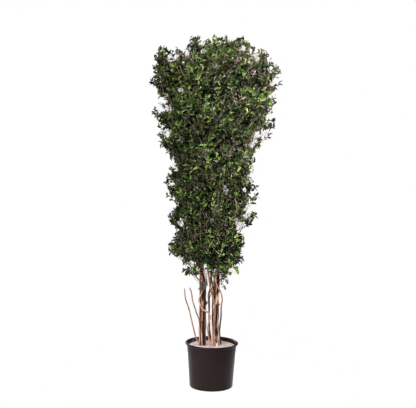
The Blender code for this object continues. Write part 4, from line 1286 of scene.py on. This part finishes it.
def leaves_on(line, rng, limbs, allowed, own_place=False, lengths=LEAF_LENGTH, spacing=LEAF_SPACING):
    """Leaves set round a fine twig past its bare foot, with a tuft at its tip, as (roots, directions,
    facings, lengths). A twig with a place of its own keeps them over the crown's gaps and lower edge."""
    length = np.linalg.norm(np.diff(line, axis=0), axis=1).sum()
    count = max(int(length * (1 - LEAF_BARE_SHARE) / spacing), 2)
    shares = np.concatenate((np.linspace(LEAF_BARE_SHARE, LEAF_LAST_SHARE, count), LEAF_TUFT))
    at, headings = place_on(np.repeat(line[None], len(shares), axis=0), shares)
    turns = math.radians(GOLDEN_ANGLE) * np.arange(len(shares)) + rng.uniform(0, TAU)
    tilts = np.radians(rng.uniform(*LEAF_TILT, len(shares)))
    tilts[-2:] = np.radians(rng.uniform(*LEAF_TIP_TILT, 2))
    along = spread_from(headings, turns, tilts)
    sizes = rng.uniform(*lengths, len(shares))
    away = unit(at - CROWN_AXIS - at * UP)
    facing = unit(away + UP * LEAF_UPTURN + rng.uniform(-1, 1, at.shape) * LEAF_SWAY)
    tips = at + along * sizes[:, None]
    middles = at + along * sizes[:, None] * 0.5
    kept = allowed(tips) & limbs.clear_of(middles) & limbs.clear_of(tips)
    if not own_place:
        kept &= off_gaps(middles, rng) & off_gaps(tips, rng) & above_edge(tips, rng) & leafy(middles, rng)
    return at[kept], along[kept], facing[kept], sizes[kept]


# Joined meshes

def tubes(lines, radii, sides):
    """Vertices and faces of tapering tubes along polylines that have the same number of points."""
    lines = np.asarray(lines)
    count, points = lines.shape[:2]
    ahead = unit(np.gradient(lines, axis=1))
    sideways = np.abs(unit(lines[:, -1] - lines[:, 0])[:, 0]) > SIDEWAYS_TWIG
    level = np.where(sideways[:, None], BACK[None], RIGHT[None])
    side = unit(np.cross(ahead, level[:, None]))
    across = np.cross(ahead, side)
    taper = np.linspace(radii[0], radii[1], points)
    angle = np.arange(sides) * TAU / sides
    ring = (np.cos(angle)[None, None, :, None] * side[:, :, None] +
            np.sin(angle)[None, None, :, None] * across[:, :, None])
    verts = lines[:, :, None] + ring * taper[None, :, None, None]
    first = (np.arange(count) * points * sides)[:, None, None]
    low = first + (np.arange(points - 1) * sides)[None, :, None] + np.arange(sides)[None, None]
    turn = np.roll(np.arange(sides), -1) - np.arange(sides)
    faces = np.stack((low, low + turn, low + turn + sides, low + sides), axis=-1).reshape(-1, 4)
    tip = first[:, 0, 0] + (points - 1) * sides
    caps = tip[:, None] + np.arange(sides)[None]
    return verts.reshape(-1, 3), faces, caps


def joined_tubes(name, groups):
    """One mesh from groups of (polylines, radii at foot and tip, sides)."""
    verts, faces, start = [], [], 0
    for lines, radii, sides in groups:
        points, quads, caps = tubes(lines, radii, sides)
        verts.append(points)
        faces += (quads + start).tolist() + (caps + start).tolist()
        start += len(points)
    mesh = bpy.data.meshes.new(name)
    mesh.from_pydata(np.concatenate(verts).tolist(), [], faces)
    mesh.shade_smooth()
    return mesh


def leaf_form(fold, curl, twist):
    """One leaf of unit length and width: an outline folded along its midrib, curled and twisted."""
    bm = bmesh.new()
    steps = len(LEAF_OUTLINE) - 1
    bmesh.ops.create_grid(bm, x_segments=2, y_segments=steps, size=1.0)
    for vert in bm.verts:
        station = LEAF_OUTLINE[round((vert.co.y + 1) / 2 * steps)]
        along, half = station[0], station[1] / 2 * vert.co.x
        turn = twist * along
        rise = fold * abs(half) - curl * along ** 2
        vert.co = (half * math.cos(turn), along, rise + half * math.sin(turn))
    bmesh.ops.remove_doubles(bm, verts=bm.verts, dist=MERGE)
    bmesh.ops.triangulate(bm, faces=bm.faces)
    points = np.array([tuple(vert.co) for vert in bm.verts])
    faces = np.array([[vert.index for vert in face.verts] for face in bm.faces])
    bm.free()
    return points, faces


def joined_leaves(name, leaves, forms, rng):
    """One mesh of all the leaves of a tint: (root, direction, facing, length) rows."""
    roots, along, facing, sizes = leaves
    widths = sizes * rng.uniform(*LEAF_WIDTH_SHARE, len(sizes))
    across = unit(np.cross(along, facing))
    upper = np.cross(across, along)
    picked = rng.integers(0, len(forms), len(sizes))
    verts, faces, start = [], [], 0
    for number, (points, triangles) in enumerate(forms):
        mine = picked == number
        placed = (roots[mine, None] +
                  points[None, :, 0:1] * (across * widths[:, None])[mine, None] +
                  points[None, :, 1:2] * (along * sizes[:, None])[mine, None] +
                  points[None, :, 2:3] * (upper * sizes[:, None])[mine, None])
        offsets = start + np.arange(mine.sum())[:, None, None] * len(points)
        verts.append(placed.reshape(-1, 3))
        faces.append((triangles[None] + offsets).reshape(-1, 3))
        start += placed.shape[0] * len(points)
    mesh = bpy.data.meshes.new(name)
    mesh.from_pydata(np.concatenate(verts).tolist(), [], np.concatenate(faces).tolist())
    return mesh


def tip_sprig(tip, back, bearers, rng):
    """A bowed sprig from a fine twig inside the crown to one of its outer tips, or to a place nearer in."""
    kind = TIP_SPRIG
    tip = np.array((tip[0], rng.uniform(*kind["depth"]), tip[1]))
    tip[::2] -= back * np.array((np.sign(tip[0] - CROWN_X), rng.uniform(*kind["back_rise"])))
    points = bearers.reshape(-1, 3)
    gap = tip - points
    length = np.linalg.norm(gap, axis=1)
    out = unit(np.array((tip[0] - CROWN_X, 0.0, kind["out_rise"])))
    score = (gap @ out) / length + kind["upward"] * gap[:, 2] / length
    score -= np.abs(length - kind["best"]) * kind["off_best"]
    score[(length < kind["length"][0]) | (length > kind["length"][1])] = -np.inf
    start = points[np.argmax(score)]
    end = tip - unit(tip - start) * kind["short"]
    bow = (start + end) / 2 + (UP + out) / 2 * np.linalg.norm(end - start) * kind["bow"]
    share = np.linspace(0, 1, FINE_TWIG["points"])[:, None]
    return start * (1 - share) ** 2 + bow * 2 * share * (1 - share) + end * share ** 2


def low_twig(start, end, rng):
    """A twig between two given points, a little bowed and crooked."""
    steps = FINE_TWIG["points"]
    share = np.linspace(0, 1, steps)[:, None]
    line = np.array(start) * (1 - share) + np.array(end) * share
    line[1:-1] += rng.uniform(-1, 1, (steps - 2, 3)) * LOW_TWIG_SWAY + UP * LOW_TWIG_BOW
    return line


# Round the crown and up it: where light leaves gather
PATCHES = wave_field(31, (1, 4), (8, 30), 10)


def tint_chances(tip):
    """The chance of each tint for a spray: more light ones in patches and at the spots of painted highlight.
    """
    patch = PATCHES(np.array(math.atan2(tip[1], tip[0] - CROWN_X)), np.array(tip[2]))
    chances = TINT_SHARES * np.exp(TINT_LEANINGS * PATCH_LEANING * patch)
    # Painted highlight: light tints are dealt more often at the listed spots on the front
    near = [math.hypot(tip[0] - x, tip[2] - height) < radius for x, height, radius in HIGHLIGHT_SPOTS]
    if any(near) and tip[1] < 0.0:
        chances = chances * np.exp(TINT_LEANINGS * HIGHLIGHT_LEANING)
    return chances / chances.sum()


def low_bearers(routes):
    """The stretches of limbs that bear the drooping sprays."""
    lines = []
    for route in routes:
        line = route.places(np.linspace(0.0, route.length, LOW_SAMPLES))
        line = line[(line[:, 2] > LOW_BEARERS[0]) & (line[:, 2] < LOW_BEARERS[1])]
        if len(line) > LOW_SHORTEST:
            lines.append(resample(line, SIDE_TWIG["points"]))
    return lines


def make_foliage(masses, limbs, routes, nodes):
    """Twigs and leaves of every mass, each kind joined into its own piece that stands for its nodes."""
    rng = np.random.default_rng(FIRST_SEED)
    bearers = [resample(line, SIDE_TWIG["points"]) for main, sides in masses for line in [main, *sides]]
    wands = grow(WAND, rng, in_body, limbs, bearers)
    bearers += [resample(line, SIDE_TWIG["points"]) for line in wands]
    fines = grow(FINE_TWIG, rng, in_body, limbs, bearers)
    low = grow(LOW_SPRAY, rng, in_outline, limbs, low_bearers(routes))
    sprigs = grow(SPRIG, rng, in_outline, limbs, fines, tip_outside=in_body)
    placed = [low_twig(start, end, rng) for start, end in LOW_TWIGS]
    tips = [(tip_sprig(tip, back, np.array(fines), rng), tip, back) for tip in TIPS for back in TIP_BACKS]
    mains, sides = [main for main, _ in masses], [line for _, sides in masses for line in sides]
    pieces = {
        "twigs": [(mains, MAIN_TWIG), (sides, SIDE_TWIG), (wands, WAND)],
        "fine_twigs": [(fines + low, FINE_TWIG), (sprigs + placed, SPRIG),
                       ([line for line, _, _ in tips], TIP_SPRIG)],
    }
    for name, groups in pieces.items():
        tubes_of = [(lines, kind["radii"], kind["sides"]) for lines, kind in groups]
        keep(name, joined_tubes(name, tubes_of), twig_bark(), "bark_pale", *nodes)

    sprays = [(line, in_body, False, {}) for line in fines + wands]
    sprays += [(line, in_outline, False, {}) for line in low + sprigs]
    sprays += [(line, anywhere, True, LOW_LEAVES) for line in placed]
    sprays += [(line, lambda points, tip=tip: within_tip(points, tip), back == 0.0, TIP_LEAVES)
               for line, tip, back in tips]
    make_leaves(sprays, limbs, rng, nodes)


def make_leaves(sprays, limbs, rng, nodes):
    """The leaves of all the sprays, dealt out by tint and joined."""
    dealt = {name: [] for name in TINTS}
    for line, allowed, own_place, kind in sprays:
        leaves = leaves_on(line, rng, limbs, allowed, own_place, **kind)
        for first in range(0, len(leaves[3]), SPRAY_LEAVES):
            tint = rng.choice(list(TINTS), p=tint_chances(line[-1]))
            dealt[tint].append([part[first:first + SPRAY_LEAVES] for part in leaves])
    lone = LONE_LEAF
    dealt[lone["tint"]].append((np.array([lone["root"]]), unit(np.array([lone["along"]])),
                                np.array([lone["facing"]]), np.array([lone["length"]])))
    forms = [leaf_form(**form) for form in LEAF_FORMS]
    for name, tint in TINTS.items():
        leaves = [np.concatenate(part) for part in zip(*dealt[name])]
        finish = leaf_finish(name, tint["colour"])
        for number, first in enumerate(range(0, len(leaves[3]), LEAVES_A_PIECE), 1):
            piece = [part[first:first + LEAVES_A_PIECE] for part in leaves]
            mesh = joined_leaves(f"leaves_{name}_{number}", piece, forms, rng)
            keep(f"leaves_{name}_{number}", mesh, finish, "foliage", *nodes)


# Stage

def make_stage():
    """A plain pale floor, and a white surround that lights the plant softly."""
    bm = bmesh.new()
    bmesh.ops.create_circle(bm, cap_ends=True, segments=FLOOR_SEGMENTS, radius=FLOOR_RADIUS)
    mesh = bpy.data.meshes.new("floor")
    bm.to_mesh(mesh)
    bm.free()
    finish = Finish("floor", roughness=0.9)
    finish.colour(FLOOR_GREY)
    finish.feed(finish.shader.inputs["Emission Color"], WHITE)
    finish.feed(finish.shader.inputs["Emission Strength"], FLOOR_GLOW)
    mesh.materials.append(finish.material)
    floor = bpy.data.objects.new("floor", mesh)
    bpy.context.scene.collection.objects.link(floor)

    world = bpy.data.worlds.new("surround")
    bpy.context.scene.world = world
    world.use_nodes = True
    tree = world.node_tree
    sky = tree.nodes["Background"]
    sky.inputs["Color"].default_value = (*WHITE, 1.0)
    path = tree.nodes.new("ShaderNodeLightPath")
    strength = tree.nodes.new("ShaderNodeMapRange")
    strength.inputs["To Min"].default_value = WORLD_LIGHT
    strength.inputs["To Max"].default_value = 1.0
    tree.links.new(path.outputs["Is Camera Ray"], strength.inputs["Value"])
    tree.links.new(strength.outputs["Result"], sky.inputs["Strength"])


def make_lights():
    """The lamps, each turned to its aim."""
    for name, lamp in LAMPS.items():
        light = bpy.data.lights.new(name, "AREA")
        light.shape = "RECTANGLE"
        light.size, light.size_y = lamp["size"]
        light.energy = lamp["watts"]
        light.spread = math.radians(lamp.get("spread", 180))
        light.color = lamp.get("colour", WHITE)
        thing = bpy.data.objects.new(name, light)
        thing.location = lamp["at"]
        aim = Vector(lamp["aim"]) - Vector(lamp["at"])
        thing.rotation_euler = aim.to_track_quat("-Z", "Y").to_euler()
        bpy.context.scene.collection.objects.link(thing)


def make_camera():
    """The camera of the photograph."""
    lens = bpy.data.cameras.new("camera")
    lens.sensor_fit = "HORIZONTAL"
    lens.sensor_width = SENSOR_WIDTH
    lens.lens = FOCAL_PIXELS * SENSOR_WIDTH / FRAME_WIDTH
    camera = bpy.data.objects.new("camera", lens)
    pitch = Matrix.Rotation(math.radians(90 - CAMERA_PITCH), 4, "X")
    roll = Matrix.Rotation(math.radians(CAMERA_ROLL), 4, "Z")
    camera.matrix_world = Matrix.Translation(CAMERA_PLACE) @ pitch @ roll
    bpy.context.scene.collection.objects.link(camera)
    bpy.context.scene.camera = camera


def write_size():
    """Updates the view layer."""
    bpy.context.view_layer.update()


def main():
    """Builds the plant and its stage."""
    bpy.context.scene.view_settings.view_transform = "Standard"
    make_camera()
    make_stage()
    make_lights()
    barks = {name: bark(name, **colours) for name, colours in BARKS.items()}
    barks.update({name: changing_bark(name, **spec) for name, spec in CHANGING_BARKS.items()})
    make_pot()
    stems = make_stems(barks)
    make_strands(barks)
    make_plaster(stems)
    plan = mass_plan()
    cells = {name: Cell(name, plan) for name in plan}
    boughs, roots = make_boughs(plan, cells, stems, barks)
    routes = [*stems.values(), *boughs.values()]
    limbs = Limbs(routes)
    masses = [grow_mass(spec["facing"], cells[name], roots[name], limbs, number)
              for number, (name, spec) in enumerate(plan.items())]
    make_foliage(masses, limbs, routes, [f"foliage_{name}" for name in plan])
    write_size()


main()
